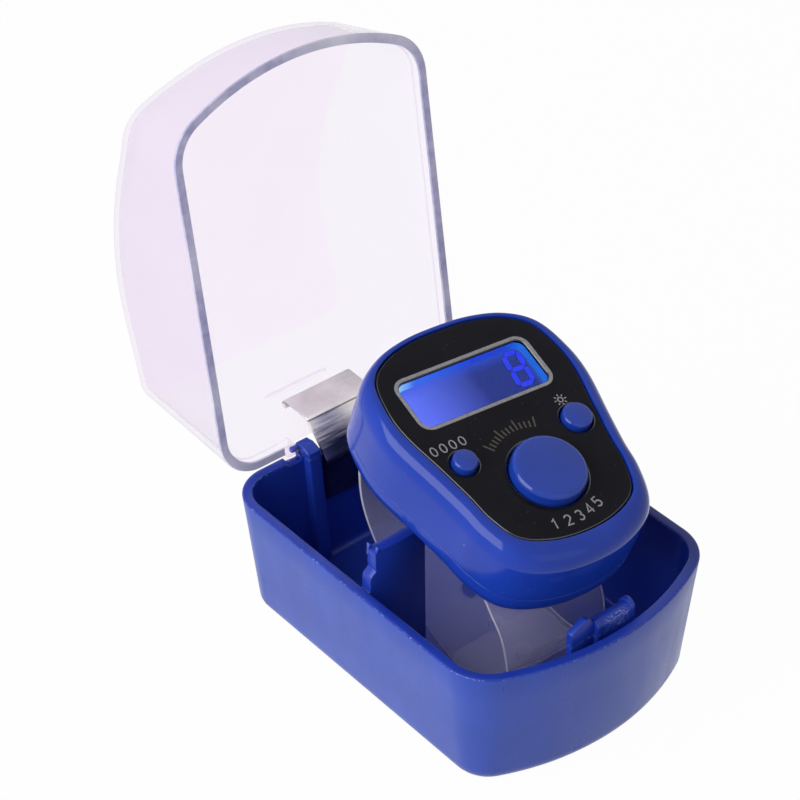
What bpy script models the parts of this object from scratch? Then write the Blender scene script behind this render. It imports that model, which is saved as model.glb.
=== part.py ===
"""Digital finger tally counter lying in its hinged carrying case.

World frame: metres, +Z up, origin at the centre of the case's flat underside.
The hinge side of the case faces +Y and its curved front faces -Y.
The counter is built in its own frame: origin on the panel face, +Y towards the
display end and +Z out of the face. An empty then lays it in the case.
"""

import math

import bmesh
import bpy
from mathutils import Euler, Matrix, Vector

MM = 0.001

# Clearances shared by all pieces
GAP = 0.3 * MM
OVERRUN = 1.0 * MM
SEAM_SINK = 0.4 * MM

# Case outline, at the rim
CASE_WIDTH = 46.0 * MM
CASE_LENGTH = 63.1 * MM
REAR_CORNER_R = 6.7 * MM
FRONT_CORNER_R = 7.8 * MM
FRONT_BULGE = 6.8 * MM
SMALLEST_R = 0.4 * MM

# Case base
BASE_HEIGHT = 21.9 * MM
BASE_WALL = 1.65 * MM
BASE_FLOOR = 1.8 * MM
BASE_EDGE_R = 2.5 * MM
BASE_INNER_EDGE_R = 1.2 * MM
BASE_DRAFT_SHARE = 0.0924

# Case lid, as it lies closed
LID_WALL = 0.9 * MM
LID_ROOF_WALL = 0.9 * MM
LID_EDGE_R = 2.4 * MM
LID_RIM_WALL = 1.5 * MM
LID_RIM_HEIGHT = 1.6 * MM
LID_DRAFT_SHARE = 0.108
LID_OPEN_ANGLE = math.radians(98.3)
LID_REAR_DEPTH = 26.2 * MM
LID_PEAK_DEPTH = 28.9 * MM
LID_FRONT_DEPTH = 13.2 * MM
ROOF_CROWN = 2.5 * MM
# Roof depth along the case: share of the length from the rear, then share of the rise
# from the rear depth to the peak, or of the fall from the peak to the front depth
ROOF_RISE_SHARES = ((0.0, 0.0), (0.18, 0.55), (0.36, 1.0))
ROOF_FALL_SHARES = ((0.52, 0.12), (0.66, 0.36), (0.8, 0.68), (0.92, 0.90), (1.0, 1.0))
ROOF_RING_SHARES = (0.9, 0.72, 0.4, 0.08)
# The crown's height across the roof, and how it grows from the rear to the front
CROWN_FLATNESS = 6
REAR_CROWN_SHARE = 0.15
FULL_CROWN_SHARE = 0.72

# Hinge knuckles and their stub pins
HINGE_INSET = 0.2 * MM
HINGE_RISE = 0.7 * MM
KNUCKLE_R = 1.3 * MM
PIN_R = 0.5 * MM
BASE_KNUCKLE_WIDTH = 2.2 * MM
LID_KNUCKLE_WIDTH = 2.0 * MM
BASE_KNUCKLE_INNER_X = 7.3 * MM
LUG_DEPTH = 2.6 * MM
LID_WEB_HEIGHT = 3.4 * MM
SPRING_NOTCH_DEPTH = 1.6 * MM

# Leaf spring of the hinge, profile places as offsets from the hinge axis
SPRING_WIDTH = 12.8 * MM
SPRING_SHIFT = 0.3 * MM
SPRING_THICKNESS = 0.35 * MM
SPRING_LIP_REACH = 6.9 * MM
SPRING_LIP_RISE = 2.4 * MM
SPRING_FOLD_REACH = 1.9 * MM
SPRING_KNEE_REACH = 3.05 * MM
SPRING_KNEE_DROP = 2.6 * MM
SPRING_BEND_DROP = 4.6 * MM
SPRING_LEG_DROP = 10.0 * MM
LID_NOTCH_HEIGHT = 2.0 * MM
LID_STOP_RISE = 12.2 * MM
LID_STOP_WIDTH = 12.0 * MM
LID_STOP_HEIGHT = 0.8 * MM
LID_STOP_DEPTH = 0.7 * MM

# Posts in the middle of the side walls
POST_THICKNESS = 2.0 * MM
POST_INNER_X = 10.6 * MM
POST_RISE = 6.3 * MM
POST_SHOULDER_RISE = 2.5 * MM
POST_SHOULDER_X = 20.0 * MM
POST_WAIST_X = 20.9 * MM

# Catch on the front wall, its two parts at insets from the front of the case
CATCH_PLATE_X = (-7.0 * MM, -2.5 * MM)
CATCH_BAR_X = (-2.9 * MM, 4.6 * MM)
CATCH_PLATE_INSETS = (3.25 * MM, 4.55 * MM)
CATCH_BAR_INSETS = (2.65 * MM, 4.85 * MM)
CATCH_RISE = 3.2 * MM
CATCH_BAR_RISE = 1.9 * MM
CATCH_CHAMFER = 2.6 * MM
CATCH_BAR_R = 1.1 * MM
CATCH_RIB_DEPTH = 9.9 * MM

# Counter body: its outline as shares of the panel's half width, and of its length above and below
# the origin. The panel lies nearer the display end of the body by PANEL_SHIFT
PANEL_HALF_WIDTH = 15.2 * MM
PANEL_ABOVE = 16.7 * MM
PANEL_BELOW = 21.7 * MM
PANEL_SHIFT = 1.1 * MM
PANEL_OUTLINE_SHARES = (
    (0.0, 1.0), (0.355, 0.982), (0.678, 0.9), (0.905, 0.735), (0.99, 0.45), (0.992, 0.16),
    (0.895, -0.2), (0.822, -0.46), (0.78, -0.66), (0.655, -0.862), (0.365, -0.968), (0.0, -1.0),
)
OUTLINE_STEPS = 2

# Counter place in the case
COUNTER_X = 1.2 * MM
COUNTER_Y = -4.8 * MM
COUNTER_RISE = 21.9 * MM
COUNTER_TURN = (math.radians(19.0), math.radians(0.96), math.radians(-4.79))

# Counter shells
BODY_THICKNESS = 14.1 * MM
BODY_MARGIN = 2.6 * MM
SHELL_WALL = 1.5 * MM
RIM_RISE = 0.15 * MM
RIM_LAND = 0.35 * MM
TOP_EDGE_HEIGHT = 3.2 * MM
BOTTOM_EDGE_HEIGHT = 3.4 * MM
BOTTOM_EDGE_INSET = 3.0 * MM
PARTING_DEPTH = 9.4 * MM
PANEL_THICKNESS = 1.0 * MM
DECK_THICKNESS = 1.3 * MM
FLOOR_THICKNESS = 1.8 * MM

# Display, its glass standing in the window of the shell
DISPLAY_X = -0.4 * MM
DISPLAY_Y = 7.6 * MM
WINDOW_WIDTH = 22.2 * MM
WINDOW_HEIGHT = 8.3 * MM
WINDOW_CORNER_R = 1.1 * MM
GLASS_WIDTH = 21.6 * MM
GLASS_HEIGHT = 7.8 * MM
GLASS_SINK = 0.5 * MM
GLASS_THICKNESS = 1.4 * MM
GUIDE_THICKNESS = 3.7 * MM
ZEBRA_DEPTH = 1.6 * MM
LED_LENGTH = 1.9 * MM
LED_WIDTH = 2.0 * MM
LED_HEIGHT = 1.0 * MM

# Buttons
COUNT_R = 5.75 * MM
COUNT_X = 0.3 * MM
COUNT_Y = -10.15 * MM
COUNT_RISE = 1.5 * MM
COUNT_EDGE_R = 0.9 * MM
COUNT_TRAVEL = 1.0 * MM
RESET_R = 1.9 * MM
LED_BUTTON_R = 2.3 * MM
SMALL_BUTTON_X = 9.9 * MM
SMALL_BUTTON_Y = -3.95 * MM
SMALL_RISE = 0.9 * MM
SMALL_EDGE_R = 0.5 * MM
SMALL_TRAVEL = 0.6 * MM
BUTTON_CLEARANCE = 0.35 * MM
FLANGE_LIP = 1.0 * MM
FLANGE_THICKNESS = 0.8 * MM
PLUNGER_R = 0.9 * MM

# Keypad, board and what sits on it
DOME_HEIGHT = 0.7 * MM
DOME_R = 1.6 * MM
COUNT_DOME_R = 3.2 * MM
DOME_PROFILE_SHARES = ((1.0, 0.0), (0.8, 0.7), (0.45, 1.0))
MAT_THICKNESS = 0.6 * MM
MAT_MARGIN = 2.4 * MM
MAT_LOBE_HALF_WIDTH = 7.2 * MM
BOARD_THICKNESS = 1.0 * MM
BOARD_CLEARANCE = 0.6 * MM
BLOB_R = 3.0 * MM
BLOB_HEIGHT = 1.0 * MM
BLOB_PROFILE_SHARES = ((1.0, 0.0), (0.85, 0.5), (0.45, 1.0))
BLOB_PLACE = (-6.0 * MM, 12.2 * MM)
BUZZER_R = 4.5 * MM
BUZZER_THICKNESS = 0.6 * MM
BUZZER_Y = -16.6 * MM

# Batteries and their cover
CELL_R = 5.8 * MM
CELL_THICKNESS = 3.05 * MM
CELL_RIM = 0.4 * MM
CELL_SPACING = 12.2 * MM
CELL_Y = 1.0 * MM
CONTACT_THICKNESS = 0.3 * MM
CONTACT_WIDTH = 4.0 * MM
CONTACT_LENGTH = 18.0 * MM
COVER_THICKNESS = 0.8 * MM
COVER_TAB = 3.8 * MM
COVER_CORNER_R = 1.5 * MM

# Screws: radii of shank, head and the bosses that they enter
SCREW_SHANK_R = 0.6 * MM
SCREW_HEAD_R = 1.25 * MM
SCREW_HEAD_HEIGHT = 0.8 * MM
SCREW_TIP_SHARE = 0.3
DRIVE_LENGTH_SHARE = 0.7
DRIVE_WIDTH_SHARE = 0.15
DRIVE_DEPTH_SHARE = 0.4
BOSS_R = 1.7 * MM
COLUMN_R = 2.2 * MM
REAR_SCREW_PLACE = (12.5 * MM, 13.3 * MM)
FRONT_SCREW_PLACE = (8.7 * MM, -17.0 * MM)
BOARD_SCREW_PLACE = (9.5 * MM, -10.3 * MM)
SHELL_SCREW_LENGTH = 7.4 * MM
BOARD_SCREW_LENGTH = 3.4 * MM
COVER_SCREW_LENGTH = 3.2 * MM

# Finger strap. The middle line of each half, as (y, z) shares of the height of the counter's face
STRAP_WIDTH = 19.0 * MM
STRAP_THICKNESS = 0.8 * MM
STRAP_SLOT_Y = (13.4 * MM, -10.2 * MM)
STRAP_STUB = 1.6 * MM
STRAP_HEAD = 2.2 * MM
STRAP_HEAD_HEIGHT = 1.0 * MM
LONG_STRAP_SHARES = (
    (0.378, 0.676), (0.385, 0.571), (0.36, 0.461), (0.285, 0.354), (0.166, 0.265),
    (0.036, 0.187), (-0.105, 0.119), (-0.251, 0.094), (-0.351, 0.142), (-0.385, 0.233),
)
SHORT_STRAP_SHARES = ((-0.278, 0.511), (-0.333, 0.438), (-0.385, 0.361))
STRAP_STEPS = 2
# Sections of the long half, counted from its loose end, that the short half runs under
LAP_SECTIONS = 7
LAP_GAP = 0.5 * MM
# Holes of the long half, their sections counted from its loose end; the first ones hold studs
HOLE_START_SECTIONS = 4
HOLE_PITCH_SECTIONS = 2
STRAP_HOLE_COUNT = 4
STRAP_STUD_COUNT = 2
STRAP_HOLE_R = 1.3 * MM
STUD_R = 0.9 * MM
STUD_HEAD_R = 1.5 * MM
STUD_HEAD_HEIGHT = 0.5 * MM

# Facets of round pieces
CORNER_STEPS = 5
FRONT_STEPS = 8
SIDE_STEPS = 7
ROUND_SIDES = 28
SMALL_ROUND_SIDES = 14
EDGE_STEPS = 3

# Places that follow from the sizes above
HINGE_Y = CASE_LENGTH / 2 - HINGE_INSET
LID_RIM_Z = BASE_HEIGHT + GAP
HINGE_Z = BASE_HEIGHT + HINGE_RISE
POST_HEIGHT = BASE_HEIGHT + POST_RISE
POST_SHOULDER_HEIGHT = BASE_HEIGHT + POST_SHOULDER_RISE
CATCH_HEIGHT = BASE_HEIGHT + CATCH_RISE
CATCH_BAR_HEIGHT = BASE_HEIGHT + CATCH_BAR_RISE
CATCH_FOOT = BASE_HEIGHT - CATCH_RIB_DEPTH
COUNTER_Z = BASE_HEIGHT + COUNTER_RISE
COUNTER_PLACE = (COUNTER_X, COUNTER_Y, COUNTER_Z)
DECK_TOP = -PANEL_THICKNESS - GAP
DECK_UNDER = DECK_TOP - DECK_THICKNESS
CAVITY_OFFSET = BODY_MARGIN - SHELL_WALL
FLOOR_TOP = -BODY_THICKNESS + FLOOR_THICKNESS
GLASS_TOP = -PANEL_THICKNESS - GLASS_SINK
GLASS_UNDER = GLASS_TOP - GLASS_THICKNESS
GUIDE_UNDER = GLASS_UNDER - GAP - GUIDE_THICKNESS
BOARD_TOP = GUIDE_UNDER - GAP
BOARD_UNDER = BOARD_TOP - BOARD_THICKNESS
MAT_TOP = BOARD_TOP + GAP + MAT_THICKNESS
DOME_TOP = MAT_TOP + DOME_HEIGHT
FLANGE_TOP = DECK_UNDER - GAP
CELL_TOP = BOARD_UNDER - 2 * GAP - CONTACT_THICKNESS - GAP
CELL_UNDER = CELL_TOP - CELL_THICKNESS
COVER_TOP = -BODY_THICKNESS + COVER_THICKNESS
COVER_HALF_WIDTH = CELL_SPACING / 2 + CELL_R + 2 * GAP
COVER_FRONT_Y = CELL_Y - CELL_R - 2 * GAP
COVER_REAR_Y = CELL_Y + CELL_R + COVER_TAB
COVER_SCREW_Y = CELL_Y + CELL_R + COVER_TAB / 2 + GAP


def clear_scene():
    for obj in list(bpy.data.objects):
        bpy.data.objects.remove(obj, do_unlink=True)


def material(name, colour, roughness, metallic=0.0, transmission=0.0):
    mat = bpy.data.materials.new(name)
    mat.use_nodes = True
    shader = mat.node_tree.nodes["Principled BSDF"]
    shader.inputs["Base Color"].default_value = (*colour, 1.0)
    shader.inputs["Roughness"].default_value = roughness
    shader.inputs["Metallic"].default_value = metallic
    shader.inputs["Transmission Weight"].default_value = transmission
    return mat


def finish_mesh(name, bm, mat, frame=None, smooth_angle=math.radians(35)):
    """A new object from this bmesh, faces out, in the frame of an empty."""
    bmesh.ops.recalc_face_normals(bm, faces=bm.faces)
    mesh = bpy.data.meshes.new(name)
    bm.to_mesh(mesh)
    bm.free()
    mesh.shade_smooth()
    mesh.set_sharp_from_angle(angle=smooth_angle)
    mesh.materials.append(mat)
    obj = bpy.data.objects.new(name, mesh)
    bpy.context.scene.collection.objects.link(obj)
    obj.parent = frame
    return obj


def loft(name, rings, mat, frame=None):
    """A closed solid through rings of equally many points, with flat ends."""
    bm = bmesh.new()
    rows = [[bm.verts.new(point) for point in ring] for ring in rings]
    for lower, upper in zip(rows, rows[1:]):
        for i in range(len(lower)):
            j = (i + 1) % len(lower)
            bm.faces.new((lower[i], lower[j], upper[j], upper[i]))
    bm.faces.new(rows[0])
    bm.faces.new(rows[-1])
    return finish_mesh(name, bm, mat, frame)


def level(outline, z):
    return [Vector((x, y, z)) for x, y in outline]


def slab(name, outline, low, high, mat, frame=None):
    """A plate of this outline between two heights."""
    return loft(name, [level(outline, low), level(outline, high)], mat, frame)


def box(name, low, high, mat, frame=None):
    outline = ((low[0], low[1]), (high[0], low[1]), (high[0], high[1]), (low[0], high[1]))
    return slab(name, outline, low[2], high[2], mat, frame)


def circle(centre, radius, sides):
    turn = 2 * math.pi / sides
    return [
        (centre[0] + radius * math.cos(i * turn), centre[1] + radius * math.sin(i * turn))
        for i in range(sides)
    ]


def turned(name, centre, profile, mat, frame=None, sides=ROUND_SIDES):
    """A round piece on an upright axis, from (radius, height) pairs."""
    rings = [level(circle(centre, radius, sides), height) for radius, height in profile]
    return loft(name, rings, mat, frame)


def rounded_rectangle(centre, width, height, radius, steps=EDGE_STEPS):
    points = []
    corners = ((1, 1), (-1, 1), (-1, -1), (1, -1))
    for quarter, (sx, sy) in enumerate(corners):
        cx = centre[0] + sx * (width / 2 - radius)
        cy = centre[1] + sy * (height / 2 - radius)
        for i in range(steps + 1):
            angle = (quarter + i / steps) * math.pi / 2
            points.append((cx + radius * math.cos(angle), cy + radius * math.sin(angle)))
    return points


def x_rod(name, centre, radius, x_range, mat, frame=None, sides=SMALL_ROUND_SIDES):
    """A round rod along X about a (y, z) centre."""
    rings = [
        [Vector((x, y, z)) for y, z in circle(centre, radius, sides)] for x in x_range
    ]
    return loft(name, rings, mat, frame)


def x_prism(name, profile, x_range, mat, frame=None):
    """A (y, z) profile drawn out along X."""
    rings = [[Vector((x, y, z)) for y, z in profile] for x in x_range]
    return loft(name, rings, mat, frame)


def combine(target, tools, operation):
    """Cuts the tools from the target, or joins them to it, and removes them."""
    for tool in tools:
        modifier = target.modifiers.new(operation, "BOOLEAN")
        modifier.operation = operation
        modifier.object = tool
        modifier.solver = "EXACT"
    bpy.context.view_layer.update()
    graph = bpy.context.evaluated_depsgraph_get()
    mesh = bpy.data.meshes.new_from_object(target.evaluated_get(graph), depsgraph=graph)
    target.modifiers.clear()
    own = target.data.materials[0]
    target.data = mesh
    mesh.materials.clear()
    mesh.materials.append(own)
    for polygon in mesh.polygons:
        polygon.material_index = 0
    for tool in tools:
        bpy.data.objects.remove(tool, do_unlink=True)
    return target


def cut(target, *tools):
    return combine(target, tools, "DIFFERENCE")


def fuse(target, *tools):
    return combine(target, tools, "UNION")


def curve_through(points, steps, closed=False):
    """Points on a smooth Catmull-Rom curve through these points."""
    count = len(points)
    vectors = [Vector(p) for p in points]
    if not closed:
        vectors = [2 * vectors[0] - vectors[1], *vectors, 2 * vectors[-1] - vectors[-2]]
    result = []
    for i in range(count if closed else count - 1):
        if closed:
            a, b, c, d = (vectors[(i + k - 1) % count] for k in range(4))
        else:
            a, b, c, d = vectors[i : i + 4]
        for k in range(steps):
            t = k / steps
            point = 2 * b + (c - a) * t + (2 * a - 5 * b + 4 * c - d) * t**2
            point += (3 * b - a - 3 * c + d) * t**3
            result.append(point / 2)
    if not closed:
        result.append(vectors[-2])
    return result


def offset_outline(points, distance):
    """A closed outline, drawn anticlockwise, moved out by this distance."""
    moved = []
    count = len(points)
    for i in range(count):
        before, here, after = (Vector(points[(i + k - 1) % count]) for k in range(3))
        first = (here - before).normalized()
        second = (after - here).normalized()
        out = Vector((first.y + second.y, -first.x - second.x)).normalized()
        stretch = 1 / math.sqrt(max((1 + first.dot(second)) / 2, 0.25))
        moved.append(here + out * distance * stretch)
    return [tuple(p) for p in moved]


def case_outline(inset, side_steps=1):
    """The case seen from above, anticlockwise from its rear right corner, drawn in by inset."""
    half = CASE_WIDTH / 2 - inset
    middle = CASE_LENGTH / 2
    rear_r = max(REAR_CORNER_R - inset, SMALLEST_R)
    front_r = max(FRONT_CORNER_R - inset, SMALLEST_R)
    bulge_r = ((CASE_WIDTH / 2) ** 2 + FRONT_BULGE**2) / (2 * FRONT_BULGE)
    bulge_y = -middle + bulge_r
    arc_r = bulge_r - inset
    corner_x = half - front_r
    corner_y = bulge_y - math.sqrt((arc_r - front_r) ** 2 - corner_x**2)
    corner_angle = math.atan2(corner_y - bulge_y, -corner_x)
    left = []
    for i in range(CORNER_STEPS + 1):
        angle = math.radians(90) * (1 + i / CORNER_STEPS)
        left.append((rear_r * math.cos(angle) - half + rear_r, middle - inset - rear_r + rear_r * math.sin(angle)))
    start = left[-1][1]
    for i in range(1, side_steps):
        left.append((-half, start + (corner_y - start) * i / side_steps))
    for i in range(CORNER_STEPS + 1):
        angle = -math.pi + (corner_angle + math.pi) * i / CORNER_STEPS
        left.append((front_r * math.cos(angle) - corner_x, corner_y + front_r * math.sin(angle)))
    for i in range(1, FRONT_STEPS // 2):
        angle = corner_angle + (-math.pi / 2 - corner_angle) * i / (FRONT_STEPS // 2)
        left.append((arc_r * math.cos(angle), bulge_y + arc_r * math.sin(angle)))
    front = (0.0, -middle + inset)
    right = [(-x, y) for x, y in reversed(left)]
    return [*left, front, *right]


def rounded_levels(radius, steps=EDGE_STEPS):
    """(inset, height) pairs round a quarter edge, from flat to upright."""
    pairs = []
    for i in range(steps + 1):
        angle = math.pi / 2 * i / steps
        pairs.append((radius * (1 - math.sin(angle)), radius * (1 - math.cos(angle))))
    return pairs


def base_cup(mat):
    def wall_inset(height):
        return BASE_DRAFT_SHARE * (BASE_HEIGHT - height)

    rings = []
    for inset, height in rounded_levels(BASE_EDGE_R):
        rings.append(level(case_outline(wall_inset(BASE_EDGE_R) + inset), height))
    rings.append(level(case_outline(0.0), BASE_HEIGHT))
    rings.append(level(case_outline(BASE_WALL), BASE_HEIGHT))
    inner = wall_inset(BASE_FLOOR + BASE_INNER_EDGE_R) + BASE_WALL
    for inset, height in reversed(rounded_levels(BASE_INNER_EDGE_R)):
        rings.append(level(case_outline(inner + inset), BASE_FLOOR + height))
    return loft("case_base", rings, mat)


def post(side, mat):
    """A plate standing square to a side wall, stepped so that the lid clears it."""
    wall_x = CASE_WIDTH / 2 - BASE_WALL / 2 - BASE_DRAFT_SHARE * BASE_HEIGHT
    rim_x = CASE_WIDTH / 2 - BASE_WALL
    profile = (
        (POST_INNER_X, BASE_FLOOR - SEAM_SINK), (wall_x, BASE_FLOOR - SEAM_SINK),
        (rim_x + SEAM_SINK, BASE_HEIGHT - 2 * SEAM_SINK), (POST_WAIST_X, BASE_HEIGHT - SEAM_SINK),
        (POST_WAIST_X, POST_SHOULDER_HEIGHT - GAP), (POST_SHOULDER_X, POST_SHOULDER_HEIGHT),
        (POST_SHOULDER_X, POST_HEIGHT), (POST_INNER_X, POST_HEIGHT),
    )
    rings = [
        [Vector((side * x, y, z)) for x, z in profile]
        for y in (-POST_THICKNESS / 2, POST_THICKNESS / 2)
    ]
    return loft("post", rings, mat)


def side_range(side, first, last):
    return (side * first, side * last)


def base_lug(side, mat):
    """An upright rib inside the rear wall that carries one knuckle."""
    x_range = side_range(side, BASE_KNUCKLE_INNER_X, BASE_KNUCKLE_INNER_X + BASE_KNUCKLE_WIDTH)
    rear = CASE_LENGTH / 2 - BASE_WALL / 2
    foot = rear - BASE_DRAFT_SHARE * BASE_HEIGHT
    profile = (
        (HINGE_Y - LUG_DEPTH - BASE_DRAFT_SHARE * BASE_HEIGHT, BASE_FLOOR - SEAM_SINK),
        (foot, BASE_FLOOR - SEAM_SINK), (rear, BASE_HEIGHT - SEAM_SINK), (HINGE_Y, HINGE_Z),
        (HINGE_Y, HINGE_Z + KNUCKLE_R * math.cos(math.pi / 8)),
        (HINGE_Y - LUG_DEPTH, HINGE_Z + KNUCKLE_R / 2),
    )
    return x_prism("lug", profile, x_range, mat)


def base_knuckle(side, mat):
    x_range = side_range(side, BASE_KNUCKLE_INNER_X, BASE_KNUCKLE_INNER_X + BASE_KNUCKLE_WIDTH)
    return x_rod("knuckle", (HINGE_Y, HINGE_Z), KNUCKLE_R, x_range, mat)


def base_pin(side, mat):
    start = BASE_KNUCKLE_INNER_X + BASE_KNUCKLE_WIDTH
    x_range = side_range(side, start - SEAM_SINK, start + GAP + LID_KNUCKLE_WIDTH)
    return x_rod("pin", (HINGE_Y, HINGE_Z), PIN_R, x_range, mat, sides=SMALL_ROUND_SIDES - 4)


def knuckle_relief(side, mat):
    """Room in the rear rim for a knuckle of the lid."""
    start = BASE_KNUCKLE_INNER_X + BASE_KNUCKLE_WIDTH
    x_range = sorted(side_range(side, start, start + 2 * GAP + LID_KNUCKLE_WIDTH))
    low = (x_range[0], HINGE_Y - KNUCKLE_R - GAP, HINGE_Z - KNUCKLE_R - GAP)
    high = (x_range[1], HINGE_Y + KNUCKLE_R + OVERRUN, BASE_HEIGHT + OVERRUN)
    return box("relief", low, high, mat)


def spring_relief(mat):
    low = (-BASE_KNUCKLE_INNER_X + GAP, HINGE_Y - LUG_DEPTH, BASE_HEIGHT - SPRING_NOTCH_DEPTH)
    high = (BASE_KNUCKLE_INNER_X - GAP, HINGE_Y + OVERRUN, BASE_HEIGHT + OVERRUN)
    return box("spring_relief", low, high, mat)


def from_front(insets):
    return tuple(inset - CASE_LENGTH / 2 for inset in insets)


def catch_plate(mat):
    """The thin left half of the catch, with one chamfered corner."""
    left, right = CATCH_PLATE_X
    outline = (
        (left, CATCH_FOOT), (right, CATCH_FOOT), (right, CATCH_HEIGHT),
        (left + CATCH_CHAMFER, CATCH_HEIGHT), (left, CATCH_HEIGHT - CATCH_CHAMFER / 2),
    )
    rings = [[Vector((x, y, z)) for x, z in outline] for y in from_front(CATCH_PLATE_INSETS)]
    return loft("catch_plate", rings, mat)


def catch_bar(mat):
    """The thick right half of the catch, with a rounded top."""
    front, back = from_front(CATCH_BAR_INSETS)
    middle = (front + back) / 2
    top = CATCH_BAR_HEIGHT - CATCH_BAR_R
    profile = [(front, CATCH_FOOT), (back, CATCH_FOOT)]
    for i in range(2 * EDGE_STEPS + 1):
        angle = math.pi * i / (2 * EDGE_STEPS)
        profile.append((middle + CATCH_BAR_R * math.cos(angle), top + CATCH_BAR_R * math.sin(angle)))
    return x_prism("catch_bar", profile, CATCH_BAR_X, mat)


def case_base(mat):
    base = base_cup(mat)
    extras = [catch_plate(mat), catch_bar(mat)]
    for side in (-1, 1):
        extras += [post(side, mat), base_lug(side, mat), base_knuckle(side, mat)]
    fuse(base, *extras)
    cut(base, knuckle_relief(-1, mat), knuckle_relief(1, mat), spring_relief(mat))
    fuse(base, base_pin(-1, mat), base_pin(1, mat))
    return base


def roof_depth(y):
    """Depth of the closed lid above its rim at this place along the case."""
    rear, peak, front = LID_REAR_DEPTH, LID_PEAK_DEPTH, LID_FRONT_DEPTH
    stations = [(share, rear + (peak - rear) * rise) for share, rise in ROOF_RISE_SHARES]
    stations += [(share, peak - (peak - front) * fall) for share, fall in ROOF_FALL_SHARES]
    places = [(share * CASE_LENGTH, depth) for share, depth in stations]
    smooth = curve_through(places, EDGE_STEPS)
    from_rear = min(max(CASE_LENGTH / 2 - y, 0.0), CASE_LENGTH)
    for here, after in zip(smooth, smooth[1:]):
        if from_rear <= after.x:
            share = (from_rear - here.x) / (after.x - here.x)
            return here.y + (after.y - here.y) * max(share, 0.0)
    return smooth[-1].y


def roof_crown(y, ring_share):
    """How far the roof bulges above its edge, on one of its shrinking rings."""
    from_rear = (CASE_LENGTH / 2 - y) / CASE_LENGTH
    growth = REAR_CROWN_SHARE + (1 - REAR_CROWN_SHARE) * min(from_rear / FULL_CROWN_SHARE, 1.0)
    return ROOF_CROWN * growth * (1 - ring_share**CROWN_FLATNESS)


def lid_outline(insets):
    """The case outline with an inset of its own for each point."""
    count = len(insets)
    deepest = max(insets)
    near = case_outline(0.0, SIDE_STEPS)
    far = case_outline(deepest, SIDE_STEPS)
    shares = [inset / deepest for inset in insets]
    return [
        (near[i][0] + (far[i][0] - near[i][0]) * shares[i], near[i][1] + (far[i][1] - near[i][1]) * shares[i])
        for i in range(count)
    ]


def lid_skin(wall, roof_wall, edge_r, rim_z):
    """Rings from the rim up the lid's wall, round its edge and in over its roof."""
    start = case_outline(0.0, SIDE_STEPS)
    heights = [roof_depth(y) - roof_wall for _, y in start]
    rings = [level(case_outline(wall + LID_DRAFT_SHARE * rim_z, SIDE_STEPS), rim_z)]
    for inset, rise in reversed(rounded_levels(edge_r)):
        insets = [wall + LID_DRAFT_SHARE * (h - edge_r) + inset for h in heights]
        outline = lid_outline(insets)
        rings.append([Vector((x, y, roof_depth(y) - roof_wall - rise)) for x, y in outline])
    edge = rings[-1]
    centre_y = sum(p.y for p in edge) / len(edge)
    for share in ROOF_RING_SHARES:
        ring = []
        for point in edge:
            y = centre_y + (point.y - centre_y) * share
            z = roof_depth(y) + roof_crown(y, share) - roof_wall
            ring.append(Vector((point.x * share, y, z)))
        rings.append(ring)
    return rings


def lid_shell(mat):
    outer = lid_skin(0.0, 0.0, LID_EDGE_R, 0.0)
    inner = lid_skin(LID_WALL, LID_ROOF_WALL, LID_EDGE_R - LID_WALL, LID_RIM_HEIGHT + GAP)
    thick = LID_RIM_WALL
    rim = [
        level(case_outline(thick, SIDE_STEPS), 0.0),
        level(case_outline(thick + LID_DRAFT_SHARE * LID_RIM_HEIGHT, SIDE_STEPS), LID_RIM_HEIGHT),
    ]
    shell = loft("case_lid", [*reversed(inner), *reversed(rim), *outer], mat)
    shell.data.transform(Matrix.Translation((0.0, 0.0, LID_RIM_Z)))
    return shell


def lid_knuckle(side, mat):
    start = BASE_KNUCKLE_INNER_X + BASE_KNUCKLE_WIDTH + GAP
    x_range = side_range(side, start, start + LID_KNUCKLE_WIDTH)
    return x_rod("lid_knuckle", (HINGE_Y, HINGE_Z), KNUCKLE_R, x_range, mat)


def lid_web(side, mat):
    start = BASE_KNUCKLE_INNER_X + BASE_KNUCKLE_WIDTH + GAP
    x_range = side_range(side, start, start + LID_KNUCKLE_WIDTH)
    rear = CASE_LENGTH / 2 - LID_WALL / 2
    profile = (
        (HINGE_Y - KNUCKLE_R, HINGE_Z), (rear, HINGE_Z), (rear - SEAM_SINK, HINGE_Z + LID_WEB_HEIGHT),
        (HINGE_Y - KNUCKLE_R, HINGE_Z + LID_WEB_HEIGHT / 2),
    )
    return x_prism("lid_web", profile, x_range, mat)


def lid_pin_hole(side, mat):
    start = BASE_KNUCKLE_INNER_X + BASE_KNUCKLE_WIDTH
    x_range = side_range(side, start - OVERRUN, start + LID_KNUCKLE_WIDTH + OVERRUN)
    return x_rod("pin_hole", (HINGE_Y, HINGE_Z), PIN_R + GAP, x_range, mat, sides=SMALL_ROUND_SIDES - 4)


def lug_relief(side, mat):
    """Room in the lid's rear wall for a knuckle of the base."""
    x_range = sorted(side_range(side, BASE_KNUCKLE_INNER_X - GAP, BASE_KNUCKLE_INNER_X + BASE_KNUCKLE_WIDTH + GAP))
    reach = KNUCKLE_R + GAP
    low = (x_range[0], HINGE_Y - LUG_DEPTH - GAP, LID_RIM_Z - OVERRUN)
    high = (x_range[1], HINGE_Y + reach + OVERRUN, HINGE_Z + reach)
    return box("lug_relief", low, high, mat)


def lid_spring_relief(mat):
    """The notch in the lid's rear rim that the spring passes through."""
    low = (-BASE_KNUCKLE_INNER_X, HINGE_Y - LUG_DEPTH, LID_RIM_Z - OVERRUN)
    high = (BASE_KNUCKLE_INNER_X, HINGE_Y + LUG_DEPTH, LID_RIM_Z + LID_NOTCH_HEIGHT)
    return box("lid_spring_relief", low, high, mat)


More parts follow.
